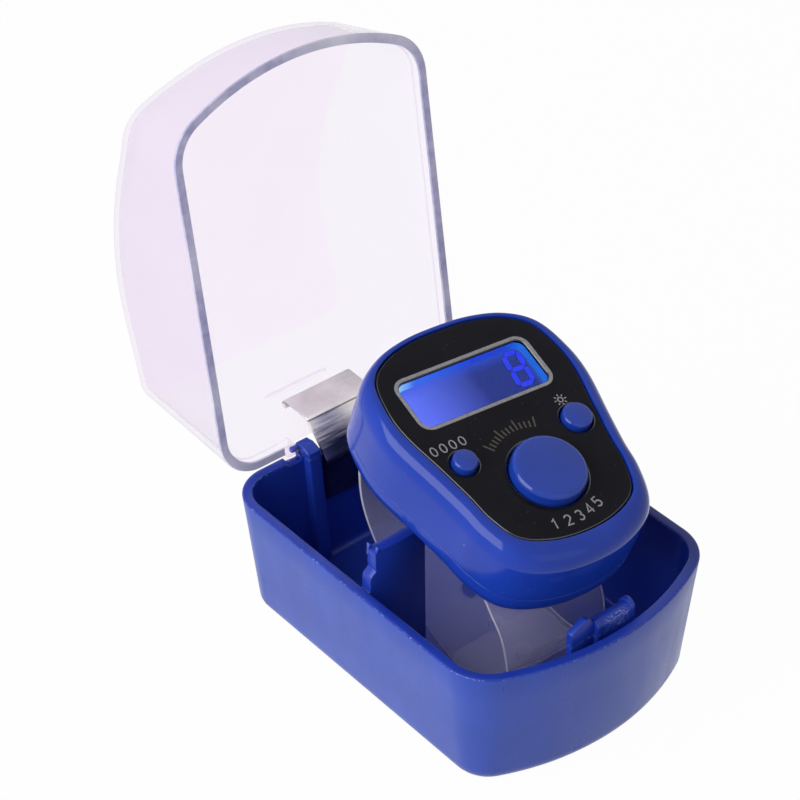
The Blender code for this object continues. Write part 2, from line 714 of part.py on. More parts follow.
def lid_stop(mat):
    """The low bar across the lid's rear wall that the spring's lip points at."""
    z = HINGE_Z + LID_STOP_RISE
    inner = CASE_LENGTH / 2 - LID_WALL - LID_DRAFT_SHARE * (z - LID_RIM_Z)
    low = (-LID_STOP_WIDTH / 2, inner - LID_STOP_DEPTH, z - LID_STOP_HEIGHT / 2)
    high = (LID_STOP_WIDTH / 2, inner + LID_WALL / 2, z + LID_STOP_HEIGHT / 2)
    return box("lid_stop", low, high, mat)


def case_lid(mat, frame):
    lid = lid_shell(mat)
    cut(lid, lug_relief(-1, mat), lug_relief(1, mat), lid_spring_relief(mat))
    fuse(lid, lid_stop(mat), *[make(side, mat) for side in (-1, 1) for make in (lid_web, lid_knuckle)])
    cut(lid, lid_pin_hole(-1, mat), lid_pin_hole(1, mat))
    lid.data.transform(Matrix.Translation((0.0, -HINGE_Y, -HINGE_Z)))
    lid.parent = frame
    return lid


def ribbon_profile(path, thickness):
    """A closed profile of this thickness round an open (y, z) path."""
    points = [Vector(p) for p in path]
    one_side, other_side = [], []
    for i, here in enumerate(points):
        before = points[max(i - 1, 0)]
        after = points[min(i + 1, len(points) - 1)]
        first = (here - before).normalized() if i else (after - here).normalized()
        second = (after - here).normalized() if i < len(points) - 1 else first
        out = Vector((first.y + second.y, -first.x - second.x)).normalized()
        stretch = 1 / math.sqrt(max((1 + first.dot(second)) / 2, 0.25))
        one_side.append(here + out * thickness / 2 * stretch)
        other_side.append(here - out * thickness / 2 * stretch)
    return [tuple(p) for p in one_side + other_side[::-1]]


def hinge_spring(mat):
    """A folded leaf: lip over the open lid, folds round the rear rims, leg inside the rear wall."""
    wall_y = CASE_LENGTH / 2 - BASE_WALL - GAP - SPRING_THICKNESS / 2

    def leg_place(drop):
        return (wall_y - BASE_DRAFT_SHARE * (drop + OVERRUN), HINGE_Z - drop)

    path = (
        (HINGE_Y + SPRING_LIP_REACH, HINGE_Z + SPRING_LIP_RISE),
        (HINGE_Y + SPRING_FOLD_REACH, HINGE_Z + SPRING_LIP_RISE),
        (HINGE_Y - SPRING_KNEE_REACH, HINGE_Z - SPRING_KNEE_DROP),
        leg_place(SPRING_BEND_DROP),
        leg_place(SPRING_LEG_DROP),
    )
    x_range = (SPRING_SHIFT - SPRING_WIDTH / 2, SPRING_SHIFT + SPRING_WIDTH / 2)
    return x_prism("hinge_spring", ribbon_profile(path, SPRING_THICKNESS), x_range, mat)


def panel_outline(offset):
    """The body's inner outline, anticlockwise, moved out by this offset."""
    def place(x_share, y_share):
        reach = PANEL_ABOVE if y_share > 0 else PANEL_BELOW
        return (x_share * PANEL_HALF_WIDTH, y_share * reach)

    right = [place(x, y) for x, y in PANEL_OUTLINE_SHARES]
    left = [(-x, y) for x, y in right[1:-1]]
    controls = [*right[::-1], *left]
    smooth = [tuple(p) for p in curve_through(controls, OUTLINE_STEPS, closed=True)]
    return offset_outline(smooth, offset)


def ring(offset, z):
    return level(panel_outline(offset), z)


def shifted_outline(offset, shift_share):
    """The outline moved out by this offset, and moved along by this share of the panel's shift."""
    return [(x, y + PANEL_SHIFT * shift_share) for x, y in panel_outline(offset)]


def upper_boss(place, end, mat, frame):
    profile = ((BOSS_R, DECK_UNDER + SEAM_SINK), (BOSS_R, end))
    return turned("boss", place, profile, mat, frame, SMALL_ROUND_SIDES)


def pilot_hole(place, low, high, mat, frame):
    profile = ((SCREW_SHANK_R + GAP, low), (SCREW_SHANK_R + GAP, high))
    return turned("pilot", place, profile, mat, frame, SMALL_ROUND_SIDES)


def mirrored(place):
    return ((-place[0], place[1]), place)


SHELL_SCREW_PLACES = (*mirrored(REAR_SCREW_PLACE), *mirrored(FRONT_SCREW_PLACE))
BUTTONS = {
    "count_button": ((COUNT_X, COUNT_Y), COUNT_R, COUNT_RISE, COUNT_EDGE_R, COUNT_TRAVEL),
    "reset_button": ((-SMALL_BUTTON_X, SMALL_BUTTON_Y), RESET_R, SMALL_RISE, SMALL_EDGE_R, SMALL_TRAVEL),
    "led_button": ((SMALL_BUTTON_X, SMALL_BUTTON_Y), LED_BUTTON_R, SMALL_RISE, SMALL_EDGE_R, SMALL_TRAVEL),
}


def face_cutters(low, high, window_growth, mat, frame):
    """Cutters for the display window and the three buttons."""
    size = (WINDOW_WIDTH + 2 * window_growth, WINDOW_HEIGHT + 2 * window_growth)
    window = rounded_rectangle((DISPLAY_X, DISPLAY_Y), *size, WINDOW_CORNER_R)
    tools = [slab("window", window, low, high, mat, frame)]
    for place, radius, _, _, _ in BUTTONS.values():
        hole = radius + BUTTON_CLEARANCE
        tools.append(turned("hole", place, ((hole, low), (hole, high)), mat, frame))
    return tools


def upper_shell(mat, frame):
    recess = GAP
    land = recess + RIM_LAND
    edge = BODY_MARGIN - land
    rings = [level(shifted_outline(recess, 1.0), z) for z in (DECK_TOP, RIM_RISE)]
    for i in range(EDGE_STEPS + 2):
        angle = math.pi / 2 * i / (EDGE_STEPS + 1)
        outline = shifted_outline(land + edge * math.sin(angle), 1.0 - math.sin(angle))
        rings.append(level(outline, RIM_RISE - TOP_EDGE_HEIGHT * (1 - math.cos(angle))))
    rings += [ring(BODY_MARGIN, -PARTING_DEPTH), ring(CAVITY_OFFSET, -PARTING_DEPTH), ring(CAVITY_OFFSET, DECK_UNDER)]
    shell = loft("upper_shell", rings, mat, frame)
    bosses = [upper_boss(place, -PARTING_DEPTH, mat, frame) for place in SHELL_SCREW_PLACES]
    bosses += [upper_boss(place, BOARD_TOP + GAP, mat, frame) for place in mirrored(BOARD_SCREW_PLACE)]
    fuse(shell, *bosses)
    cut(shell, *face_cutters(DECK_UNDER - OVERRUN, DECK_TOP + OVERRUN, GAP, mat, frame))
    top = DECK_UNDER - OVERRUN
    pilots = [pilot_hole(place, -PARTING_DEPTH - OVERRUN, top, mat, frame) for place in SHELL_SCREW_PLACES]
    pilots += [pilot_hole(place, BOARD_TOP - OVERRUN, top, mat, frame) for place in mirrored(BOARD_SCREW_PLACE)]
    return cut(shell, *pilots)


def strap_slot(y, mat, frame):
    half = STRAP_WIDTH / 2 + GAP
    depth = STRAP_THICKNESS / 2 + GAP
    low = (-half, y - depth, -BODY_THICKNESS - OVERRUN)
    return box("slot", low, (half, y + depth, FLOOR_TOP + OVERRUN), mat, frame)


def cover_outline(growth):
    centre = (0.0, (COVER_FRONT_Y + COVER_REAR_Y) / 2)
    width = 2 * (COVER_HALF_WIDTH + growth)
    height = COVER_REAR_Y - COVER_FRONT_Y + 2 * growth
    return rounded_rectangle(centre, width, height, COVER_CORNER_R)


def cell_opening(mat, frame):
    centre = (0.0, CELL_Y)
    outline = rounded_rectangle(centre, CELL_SPACING + 2 * CELL_R, 2 * CELL_R, COVER_CORNER_R)
    return slab("cell_opening", outline, COVER_TOP - OVERRUN, FLOOR_TOP + OVERRUN, mat, frame)


def lower_shell(mat, frame):
    rings = []
    for i in range(EDGE_STEPS + 2):
        angle = math.pi / 2 * i / (EDGE_STEPS + 1)
        inset = BOTTOM_EDGE_INSET * (1 - math.sin(angle))
        rings.append(ring(BODY_MARGIN - inset, -BODY_THICKNESS + BOTTOM_EDGE_HEIGHT * (1 - math.cos(angle))))
    top = -PARTING_DEPTH - GAP
    floor_offset = CAVITY_OFFSET - BOTTOM_EDGE_INSET / 2
    rings += [ring(BODY_MARGIN, top), ring(CAVITY_OFFSET, top)]
    rings += [ring(CAVITY_OFFSET, -BODY_THICKNESS + BOTTOM_EDGE_HEIGHT), ring(floor_offset, FLOOR_TOP)]
    shell = loft("lower_shell", rings, mat, frame)
    columns = [
        turned("column", place, ((COLUMN_R, FLOOR_TOP - SEAM_SINK), (COLUMN_R, top)), mat, frame, SMALL_ROUND_SIDES)
        for place in SHELL_SCREW_PLACES
    ]
    boss_top = CELL_TOP - GAP
    boss = ((BOSS_R, FLOOR_TOP - SEAM_SINK), (BOSS_R, boss_top))
    columns.append(turned("cover_boss", (0.0, COVER_SCREW_Y), boss, mat, frame, SMALL_ROUND_SIDES))
    fuse(shell, *columns)
    tools = [strap_slot(y, mat, frame) for y in STRAP_SLOT_Y]
    recess_top = COVER_TOP + GAP
    tools.append(slab("recess", cover_outline(GAP), -BODY_THICKNESS - OVERRUN, recess_top, mat, frame))
    tools.append(cell_opening(mat, frame))
    tools.append(pilot_hole((0.0, COVER_SCREW_Y), -BODY_THICKNESS, boss_top + OVERRUN, mat, frame))
    low = -BODY_THICKNESS - OVERRUN
    for place in SHELL_SCREW_PLACES:
        tools.append(pilot_hole(place, low, top + OVERRUN, mat, frame))
        well = ((SCREW_HEAD_R + GAP, low), (SCREW_HEAD_R + GAP, screw_seat() + GAP))
        tools.append(turned("well", place, well, mat, frame, SMALL_ROUND_SIDES))
    return cut(shell, *tools)


def screw_seat():
    """Height of the underside of a shell screw's head seat."""
    return FLOOR_TOP + SEAM_SINK


def face_panel(mat, frame):
    panel = slab("face_panel", shifted_outline(0.0, 1.0), -PANEL_THICKNESS, 0.0, mat, frame)
    return cut(panel, *face_cutters(-PANEL_THICKNESS - OVERRUN, OVERRUN, 0.0, mat, frame))


def display_window(mat, frame):
    outline = rounded_rectangle(
        (DISPLAY_X, DISPLAY_Y), WINDOW_WIDTH - 2 * GAP, WINDOW_HEIGHT - 2 * GAP, WINDOW_CORNER_R - GAP
    )
    return slab("display_window", outline, -PANEL_THICKNESS, -GAP / 2, mat, frame)


def display_parts(glass_mat, guide_mat, led_mat, zebra_mat, frame):
    low_x = DISPLAY_X - GLASS_WIDTH / 2
    high_x = DISPLAY_X + GLASS_WIDTH / 2
    low_y = DISPLAY_Y - GLASS_HEIGHT / 2
    high_y = DISPLAY_Y + GLASS_HEIGHT / 2
    guide_top = GLASS_UNDER - GAP
    zebra_y = low_y + ZEBRA_DEPTH
    led_x = low_x + LED_LENGTH
    box("lcd_glass", (low_x, low_y, GLASS_UNDER), (high_x, high_y, GLASS_TOP), glass_mat, frame)
    box("zebra_strip", (low_x, low_y, GUIDE_UNDER), (high_x, zebra_y, guide_top), zebra_mat, frame)
    box("backlight_guide", (led_x + GAP, zebra_y + GAP, GUIDE_UNDER), (high_x, high_y, guide_top), guide_mat, frame)
    led_low = (low_x, DISPLAY_Y - LED_WIDTH / 2, GUIDE_UNDER)
    led_high = (led_x, DISPLAY_Y + LED_WIDTH / 2, GUIDE_UNDER + LED_HEIGHT)
    box("backlight_led", led_low, led_high, led_mat, frame)


def button(name, mat, frame):
    """A cap with a rounded edge over a flange and a plunger."""
    place, radius, rise, edge_r, travel = BUTTONS[name]
    plunger_end = DOME_TOP + GAP + travel
    flange_r = radius + FLANGE_LIP
    profile = [(PLUNGER_R, plunger_end), (PLUNGER_R, FLANGE_TOP - FLANGE_THICKNESS)]
    profile += [(flange_r, FLANGE_TOP - FLANGE_THICKNESS), (flange_r, FLANGE_TOP), (radius, FLANGE_TOP)]
    for inset, height in reversed(rounded_levels(edge_r)):
        profile.append((radius - inset, rise - height))
    sides = ROUND_SIDES if radius == COUNT_R else SMALL_ROUND_SIDES + 2
    cap = turned(name, (0.0, 0.0), profile, mat, frame, sides)
    cap.location = (*place, 0.0)
    return cap


def keypad_mat(mat, frame):
    """A rubber sheet with a dome under each button."""
    wing = SMALL_BUTTON_X + MAT_MARGIN
    wing_top = SMALL_BUTTON_Y + MAT_MARGIN
    wing_low = SMALL_BUTTON_Y - MAT_MARGIN
    lobe = MAT_LOBE_HALF_WIDTH
    lobe_low = COUNT_Y - MAT_LOBE_HALF_WIDTH / 2
    outline = (
        (-lobe, lobe_low), (lobe, lobe_low), (lobe, wing_low), (wing, wing_low),
        (wing, wing_top), (-wing, wing_top), (-wing, wing_low), (-lobe, wing_low),
    )
    sheet = slab("keypad_mat", outline, MAT_TOP - MAT_THICKNESS, MAT_TOP, mat, frame)
    domes = []
    for name, (place, _, _, _, _) in BUTTONS.items():
        radius = COUNT_DOME_R if name == "count_button" else DOME_R
        profile = [(radius, MAT_TOP - MAT_THICKNESS / 2)]
        profile += [(radius * r, MAT_TOP + DOME_HEIGHT * h) for r, h in DOME_PROFILE_SHARES]
        domes.append(turned("dome", place, profile, mat, frame, SMALL_ROUND_SIDES))
    return fuse(sheet, *domes)


def circuit_board(mat, frame):
    outline = panel_outline(CAVITY_OFFSET - BOARD_CLEARANCE)
    board = slab("circuit_board", outline, BOARD_UNDER, BOARD_TOP, mat, frame)
    tools = []
    for place in SHELL_SCREW_PLACES:
        hole = ((BOSS_R + GAP, BOARD_UNDER - OVERRUN), (BOSS_R + GAP, BOARD_TOP + OVERRUN))
        tools.append(turned("notch", place, hole, mat, frame, SMALL_ROUND_SIDES))
    for place in mirrored(BOARD_SCREW_PLACE):
        tools.append(pilot_hole(place, BOARD_UNDER - OVERRUN, BOARD_TOP + OVERRUN, mat, frame))
    return cut(board, *tools)


def chip_blob(mat, frame):
    top = BOARD_UNDER - GAP
    profile = [(BLOB_R * r, top - BLOB_HEIGHT * h) for r, h in BLOB_PROFILE_SHARES]
    return turned("chip_blob", BLOB_PLACE, profile, mat, frame, SMALL_ROUND_SIDES)


def piezo_buzzer(mat, frame):
    low = FLOOR_TOP + GAP
    profile = ((BUZZER_R, low), (BUZZER_R, low + BUZZER_THICKNESS))
    return turned("piezo_buzzer", (0.0, BUZZER_Y), profile, mat, frame)


def battery_cell(name, side, mat, frame):
    inner = CELL_R - CELL_RIM
    profile = (
        (inner, CELL_UNDER), (inner, CELL_UNDER + CELL_RIM), (CELL_R, CELL_UNDER + 2 * CELL_RIM), (CELL_R, CELL_TOP),
    )
    return turned(name, (side * CELL_SPACING / 2, CELL_Y), profile, mat, frame, ROUND_SIDES - 4)


def battery_contact(name, low, mat, frame):
    """A strip that bridges both cells."""
    corner = (-CONTACT_LENGTH / 2, CELL_Y - CONTACT_WIDTH / 2, low)
    opposite = (CONTACT_LENGTH / 2, CELL_Y + CONTACT_WIDTH / 2, low + CONTACT_THICKNESS)
    return box(name, corner, opposite, mat, frame)


def battery_cover(mat, frame):
    cover = slab("battery_cover", cover_outline(0.0), -BODY_THICKNESS, COVER_TOP, mat, frame)
    place = (0.0, COVER_SCREW_Y)
    hole = pilot_hole(place, -BODY_THICKNESS - OVERRUN, COVER_TOP + OVERRUN, mat, frame)
    well_top = -BODY_THICKNESS + COVER_THICKNESS / 2
    well = ((SCREW_HEAD_R + GAP, -BODY_THICKNESS - OVERRUN), (SCREW_HEAD_R + GAP, well_top))
    return cut(cover, hole, turned("well", place, well, mat, frame, SMALL_ROUND_SIDES))


def screw(name, place, head_top, head_height, length, mat, frame):
    """A screw driven up from below, its head under head_top."""
    reach, half = SCREW_HEAD_R * DRIVE_LENGTH_SHARE, SCREW_HEAD_R * DRIVE_WIDTH_SHARE
    low = (place[0] - reach, place[1] - half, head_top - head_height - OVERRUN)
    high = (place[0] + reach, place[1] + half, head_top - head_height * (1 - DRIVE_DEPTH_SHARE))
    drive = box("drive", low, high, mat, frame)
    profile = (
        (SCREW_HEAD_R, head_top - head_height), (SCREW_HEAD_R, head_top), (SCREW_SHANK_R, head_top),
        (SCREW_SHANK_R, head_top + length - SCREW_SHANK_R), (SCREW_SHANK_R * SCREW_TIP_SHARE, head_top + length),
    )
    return cut(turned(name, place, profile, mat, frame, SMALL_ROUND_SIDES), drive)


def screws(mat, frame):
    for number, place in enumerate(SHELL_SCREW_PLACES, 1):
        screw(f"shell_screw_{number}", place, screw_seat(), SCREW_HEAD_HEIGHT, SHELL_SCREW_LENGTH, mat, frame)
    for number, place in enumerate(mirrored(BOARD_SCREW_PLACE), 1):
        top = BOARD_UNDER - GAP
        screw(f"board_screw_{number}", place, top, SCREW_HEAD_HEIGHT, BOARD_SCREW_LENGTH, mat, frame)
    head = COVER_THICKNESS / 2 - GAP
    top = -BODY_THICKNESS + head
    screw("battery_cover_screw", (0.0, COVER_SCREW_Y), top, head, COVER_SCREW_LENGTH, mat, frame)


def counter_matrix():
    return Matrix.Translation(COUNTER_PLACE) @ Euler(COUNTER_TURN, "ZXY").to_matrix().to_4x4()


def strap_path(shares):
    return [(y * COUNTER_Z, z * COUNTER_Z) for y, z in shares]


def strap_sections(path, slot_y):
    """Middle line of one strap half as (place, across) pairs, from its head in the slot."""
    matrix = counter_matrix()
    across = (matrix.to_3x3() @ Vector((1.0, 0.0, 0.0))).normalized()
    head = [(0.0, slot_y, FLOOR_TOP + GAP), (0.0, slot_y, -BODY_THICKNESS - STRAP_STUB)]
    start = [matrix @ Vector(p) for p in head]
    smooth = curve_through([(start[-1].y, start[-1].z), *path], STRAP_STEPS)
    count = len(smooth) - 1
    level_across = Vector((1.0, 0.0, 0.0))
    sections = [(start[0], across)]
    for i, point in enumerate(smooth):
        share = min(2 * i / count, 1.0)
        middle = Vector((start[-1].x * (1 - share), point.x, point.y))
        sections.append((middle, across.lerp(level_across, share).normalized()))
    return sections


def strap_normal(sections, i):
    """The direction square to the strap's face at one section."""
    before = sections[max(i - 1, 0)][0]
    after = sections[min(i + 1, len(sections) - 1)][0]
    return (after - before).cross(sections[i][1]).normalized()


def strap_band(name, sections, mat):
    rings = []
    for i, (middle, across) in enumerate(sections):
        normal = strap_normal(sections, i) * STRAP_THICKNESS / 2
        side = across * STRAP_WIDTH / 2
        rings.append([middle - side - normal, middle + side - normal, middle + side + normal, middle - side + normal])
    return loft(name, rings, mat)


def strap_head(slot_y, mat):
    """The thick bar that keeps the strap's end inside the lower shell."""
    half = STRAP_WIDTH / 2
    low = (-half, slot_y - STRAP_HEAD / 2, FLOOR_TOP + GAP)
    high = (half, slot_y + STRAP_HEAD / 2, FLOOR_TOP + GAP + STRAP_HEAD_HEIGHT)
    head = box("head", low, high, mat)
    head.data.transform(counter_matrix())
    return head


def strap_peg(sections, from_end, profile, mat):
    """A round piece on the strap's normal at one section, from (radius, height) pairs."""
    i = len(sections) - 1 - from_end
    peg = turned("peg", (0.0, 0.0), profile, mat, None, SMALL_ROUND_SIDES - 2)
    turn = Vector((0.0, 0.0, 1.0)).rotation_difference(strap_normal(sections, i)).to_matrix().to_4x4()
    peg.data.transform(Matrix.Translation(sections[i][0]) @ turn)
    return peg


def peg_sections(count):
    return [HOLE_START_SECTIONS + HOLE_PITCH_SECTIONS * i for i in range(count)]


def strap_half_long(mat):
    """The half from behind the display, with holes for the studs."""
    sections = strap_sections(strap_path(LONG_STRAP_SHARES), STRAP_SLOT_Y[0])
    band = fuse(strap_band("strap_long", sections, mat), strap_head(STRAP_SLOT_Y[0], mat))
    reach = STRAP_THICKNESS + OVERRUN
    hole = ((STRAP_HOLE_R, -reach), (STRAP_HOLE_R, reach))
    return cut(band, *[strap_peg(sections, i, hole, mat) for i in peg_sections(STRAP_HOLE_COUNT)])


def strap_half_short(mat):
    """The half from under the count button, lapped under the long half and studded into it."""
    upper = strap_sections(strap_path(LONG_STRAP_SHARES), STRAP_SLOT_Y[0])
    depth = STRAP_THICKNESS + LAP_GAP
    last = len(upper) - 1
    lap = []
    for i in range(last, last - LAP_SECTIONS, -1):
        place = upper[i][0] - strap_normal(upper, i) * depth
        lap.append((place.y, place.z))
    sections = strap_sections((*strap_path(SHORT_STRAP_SHARES), *lap), STRAP_SLOT_Y[1])
    band = fuse(strap_band("strap_short", sections, mat), strap_head(STRAP_SLOT_Y[1], mat))
    clear = STRAP_THICKNESS / 2 + 2 * GAP
    stud = (
        (STUD_R, -depth), (STUD_R, clear), (STUD_HEAD_R, clear), (STUD_HEAD_R * 0.7, clear + STUD_HEAD_HEIGHT),
    )
    return fuse(band, *[strap_peg(upper, i, stud, mat) for i in peg_sections(STRAP_STUD_COUNT)])


def empty(name, place):
    marker = bpy.data.objects.new(name, None)
    marker.location = place
    bpy.context.scene.collection.objects.link(marker)
    return marker


def build_case():
    blue = material("case_blue", (0.035, 0.07, 0.42), 0.42)
    clear = material("case_clear", (0.9, 0.9, 0.97), 0.06, transmission=0.9)
    nickel = material("nickel", (0.72, 0.7, 0.67), 0.25, metallic=1.0)
    case_base(blue)
    lid_frame = empty("lid_frame", (0.0, HINGE_Y, HINGE_Z))
    case_lid(clear, lid_frame)
    lid_frame.rotation_euler = (-LID_OPEN_ANGLE, 0.0, 0.0)
    hinge_spring(nickel)


def build_counter():
    blue = material("counter_blue", (0.02, 0.07, 0.55), 0.18)
    black = material("panel_black", (0.012, 0.012, 0.014), 0.3)
    clear = material("window_clear", (0.9, 0.93, 1.0), 0.05, transmission=0.9)
    glass = material("lcd_blue", (0.08, 0.15, 0.9), 0.2)
    white = material("guide_white", (0.85, 0.87, 0.9), 0.4)
    rubber = material("rubber_grey", (0.35, 0.35, 0.36), 0.7)
    green = material("board_green", (0.02, 0.2, 0.07), 0.45)
    resin = material("resin_black", (0.01, 0.01, 0.01), 0.35)
    brass = material("brass", (0.78, 0.57, 0.22), 0.3, metallic=1.0)
    steel = material("steel", (0.62, 0.62, 0.6), 0.3, metallic=1.0)
    frosted = material("strap_clear", (0.85, 0.85, 0.9), 0.35, transmission=0.7)
    frame = empty("counter_frame", COUNTER_PLACE)
    frame.rotation_mode = "ZXY"
    frame.rotation_euler = COUNTER_TURN
    upper_shell(blue, frame)
    lower_shell(blue, frame)
    face_panel(black, frame)
    display_window(clear, frame)
    display_parts(glass, white, white, rubber, frame)
    for name in BUTTONS:
        button(name, blue, frame)
    keypad_mat(rubber, frame)
    circuit_board(green, frame)
    chip_blob(resin, frame)
    piezo_buzzer(brass, frame)
    battery_cell("battery_cell_left", -1, steel, frame)
    battery_cell("battery_cell_right", 1, steel, frame)
    battery_contact("battery_contact_upper", CELL_TOP + GAP, steel, frame)
    battery_contact("battery_contact_lower", CELL_UNDER - GAP - CONTACT_THICKNESS, steel, frame)
    battery_cover(blue, frame)
    screws(steel, frame)
    strap_half_long(frosted)
    strap_half_short(frosted)


clear_scene()
build_case()
build_counter()
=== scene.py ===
"""Looks of the finger tally counter in its hinged case. Lengths are in millimetres until a mesh is made."""

import math

import bmesh
import bpy
from mathutils import Euler, Matrix, Vector


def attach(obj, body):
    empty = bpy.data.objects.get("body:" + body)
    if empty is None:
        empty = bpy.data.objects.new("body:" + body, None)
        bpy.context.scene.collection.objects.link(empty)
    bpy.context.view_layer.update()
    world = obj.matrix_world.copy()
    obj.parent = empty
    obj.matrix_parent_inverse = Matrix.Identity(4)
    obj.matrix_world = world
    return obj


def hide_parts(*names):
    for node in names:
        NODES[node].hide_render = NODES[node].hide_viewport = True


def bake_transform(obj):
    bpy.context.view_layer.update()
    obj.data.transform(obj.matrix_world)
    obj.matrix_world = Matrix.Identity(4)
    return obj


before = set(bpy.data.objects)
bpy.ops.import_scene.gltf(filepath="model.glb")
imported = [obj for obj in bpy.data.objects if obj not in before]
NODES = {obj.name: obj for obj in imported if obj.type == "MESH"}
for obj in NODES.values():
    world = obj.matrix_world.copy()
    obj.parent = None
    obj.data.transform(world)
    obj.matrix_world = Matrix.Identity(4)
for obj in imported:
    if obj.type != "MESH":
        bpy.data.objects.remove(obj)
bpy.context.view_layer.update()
MM = 0.001
SCALE = Matrix.Scale(MM, 4)

# Clearance between pieces, how far a cutting solid runs past, and how deep an added solid sinks in
GAP, OVERRUN, SEAM_SINK = 0.3, 1.0, 0.4

# Sizes of the case
CASE_WIDTH, CASE_LENGTH = 46.0, 63.1
REAR_CORNER_R, FRONT_CORNER_R, FRONT_BULGE, SMALLEST_R = 6.7, 7.8, 6.8, 0.4
BASE_HEIGHT, BASE_WALL, BASE_FLOOR, BASE_LEVELS = 21.9, 1.65, 1.8, (7.0, 12.0, 17.0)
BASE_EDGE_R, BASE_INNER_EDGE_R, BASE_RIM_R, BASE_FLAT_INSET, BASE_DRAFT = 2.5, 1.2, 0.32, 3.0, 0.0924
LID_WALL, LID_EDGE_R, LID_RIM_WALL, LID_RIM_HEIGHT, LID_DRAFT = 0.9, 2.4, 1.5, 1.6, 0.108
LID_RIM_R, LID_OPEN_ANGLE, LID_LEVEL_SHARES = 0.18, math.radians(98.3), (0.25, 0.5, 0.75)
LID_REAR_DEPTH, LID_PEAK_DEPTH, LID_FRONT_DEPTH, ROOF_CROWN = 26.2, 28.9, 13.2, 2.5
ROOF_RISE_SHARES = ((0.0, 0.0), (0.18, 0.55), (0.36, 1.0))
ROOF_FALL_SHARES = ((0.52, 0.12), (0.66, 0.36), (0.8, 0.68), (0.92, 0.90), (1.0, 1.0))
ROOF_RINGS = (0.975, 0.95, 0.9, 0.84, 0.76, 0.66, 0.54, 0.4, 0.25, 0.08)
CROWN_FLATNESS, REAR_CROWN, FULL_CROWN = 6, 0.15, 0.72
STOP_HALF_WIDTH, STOP_ABOVE_HINGE, STOP_DEPTH, STOP_HALF_HEIGHT, STOP_EDGE_R = 6.0, 12.2, 0.7, 0.4, 0.3
HINGE_Y, HINGE_Z = CASE_LENGTH / 2 - 0.2, BASE_HEIGHT + 0.7
LID_RIM_Z = BASE_HEIGHT + GAP
KNUCKLE_R, BASE_KNUCKLE_R, PIN_R, ROD_BEVEL = 1.3, 0.75, 0.5, 0.12
BASE_KNUCKLE_X, BASE_KNUCKLE_WIDTH, LID_KNUCKLE_WIDTH = 7.3, 2.2, 2.0
LUG_X, LUG_REACH, LUG_DEPTH, LUG_EDGE_R = (6.7, 9.2), 2.9, 2.6, 0.4
BASE_KNUCKLE_ENDS = (LUG_X[0] + 0.3, LUG_X[1] - 0.1)
LUG_CREST, LUG_NOSE = ((0.0, 0.0), (0.0, 0.6), (-0.8, 0.7)), ((0.8, 0.35), (0.2, -0.1), (0.0, -0.8))
LID_WEB_HEIGHT, LID_RELIEF_HEIGHT, BLIND_WALL = 3.4, 2.0, 0.4
SPRING_WIDTH, SPRING_SHIFT, SPRING_THICKNESS, SPRING_EDGE_R, SPRING_NOTCH_DEPTH = 12.8, 0.3, 0.35, 0.06, 1.6

# The leaf spring's corners from the hinge, the drops of its leg below the hinge, and its bends
SPRING_CORNERS = ((7.05, 1.8), (6.9, 2.5), (1.9, 2.2), (-3.05, -2.6))
SPRING_LEG_DROPS, SPRING_BENDS = (4.6, 10.0), (0.25, 0.22, 0.7, 0.5)

# The side post: places along X with heights above the base's rim, then with drops below the post's top
POST_RISE, POST_FOOT_X, POST_HALF_THICKNESS, POST_EDGE_R = 6.3, 10.6, 1.0, 0.22
POST_HUMP = ((20.9, 1.4), (20.75, 2.0), (20.4, 2.4), (20.0, 2.6), (19.8, 2.9), (19.9, 3.9), (19.8, 4.9))
POST_CREST = (
    (19.9, 0.5), (19.85, 0.14), (19.3, 0.04), (15.6, 0.1), (12.0, 0.0), (11.0, 0.12), (10.65, 0.6),
    (10.75, 2.0), (10.6, 3.6),
)

# Flakes on the posts: place along X and Y, width, rise, lean
FLAKE_FOOT, FLAKE_HALF_THICKNESS, FLAKE_HEEL = 1.2, 0.24, 0.2
POST_FLAKES = (
    (19.75, 0.72, 0.6, 0.8, 0.05), (19.7, -0.74, 0.7, 0.65, -0.35),
    (11.6, 0.7, 0.7, 0.9, -0.45), (11.3, -0.72, 0.5, 0.45, -0.1),
)

# The catch: its plate from in front, and its upright bars as ends along X, front, back, top and rounding
CATCH_FOOT, CATCH_EDGE_R, CATCH_PLATE_Y = 12.0, 0.2, (-28.3, -27.1)
CATCH_PLATE = (
    (-7.0, CATCH_FOOT), (-2.5, CATCH_FOOT), (-2.5, 23.4), (-3.5, 24.9), (-4.3, 25.1), (-7.0, 23.8),
)
CATCH_BARS = (
    ((-2.3, 4.1), -28.9, -26.7, 23.8, 1.1), ((-2.75, -1.9), -29.0, -27.0, 24.0, 1.0),
    ((3.7, 4.65), -28.95, -26.4, 24.2, 1.27),
)

# Sizes of the counter
PANEL_HALF_WIDTH, PANEL_ABOVE, PANEL_BELOW, PANEL_SHIFT = 15.2, 16.7, 21.7, 1.1
PANEL_OUTLINE = (
    (0.0, 1.0), (0.355, 0.982), (0.678, 0.9), (0.905, 0.735), (0.99, 0.45), (0.992, 0.16),
    (0.895, -0.2), (0.822, -0.46), (0.78, -0.66), (0.655, -0.862), (0.365, -0.968), (0.0, -1.0),
)
COUNTER_PLACE = (1.2, -4.8, BASE_HEIGHT + 21.9)
COUNTER_TURN = (math.radians(19.0), math.radians(0.96), math.radians(-4.79))
BODY_THICKNESS, BODY_MARGIN, SHELL_WALL = 14.1, 2.6, 1.5
RIM_RISE, RIM_LAND, MOUTH_INSET = 0.15, 0.35, GAP * 0.6
MOUTH_LEVELS = ((0.0, -1.3), (0.0, RIM_RISE - 0.14), (0.05, RIM_RISE - 0.04), (0.15, RIM_RISE))
TOP_EDGE, BOTTOM_EDGE, BOTTOM_INSET, PARTING = 3.2, 3.4, 3.0, 9.4
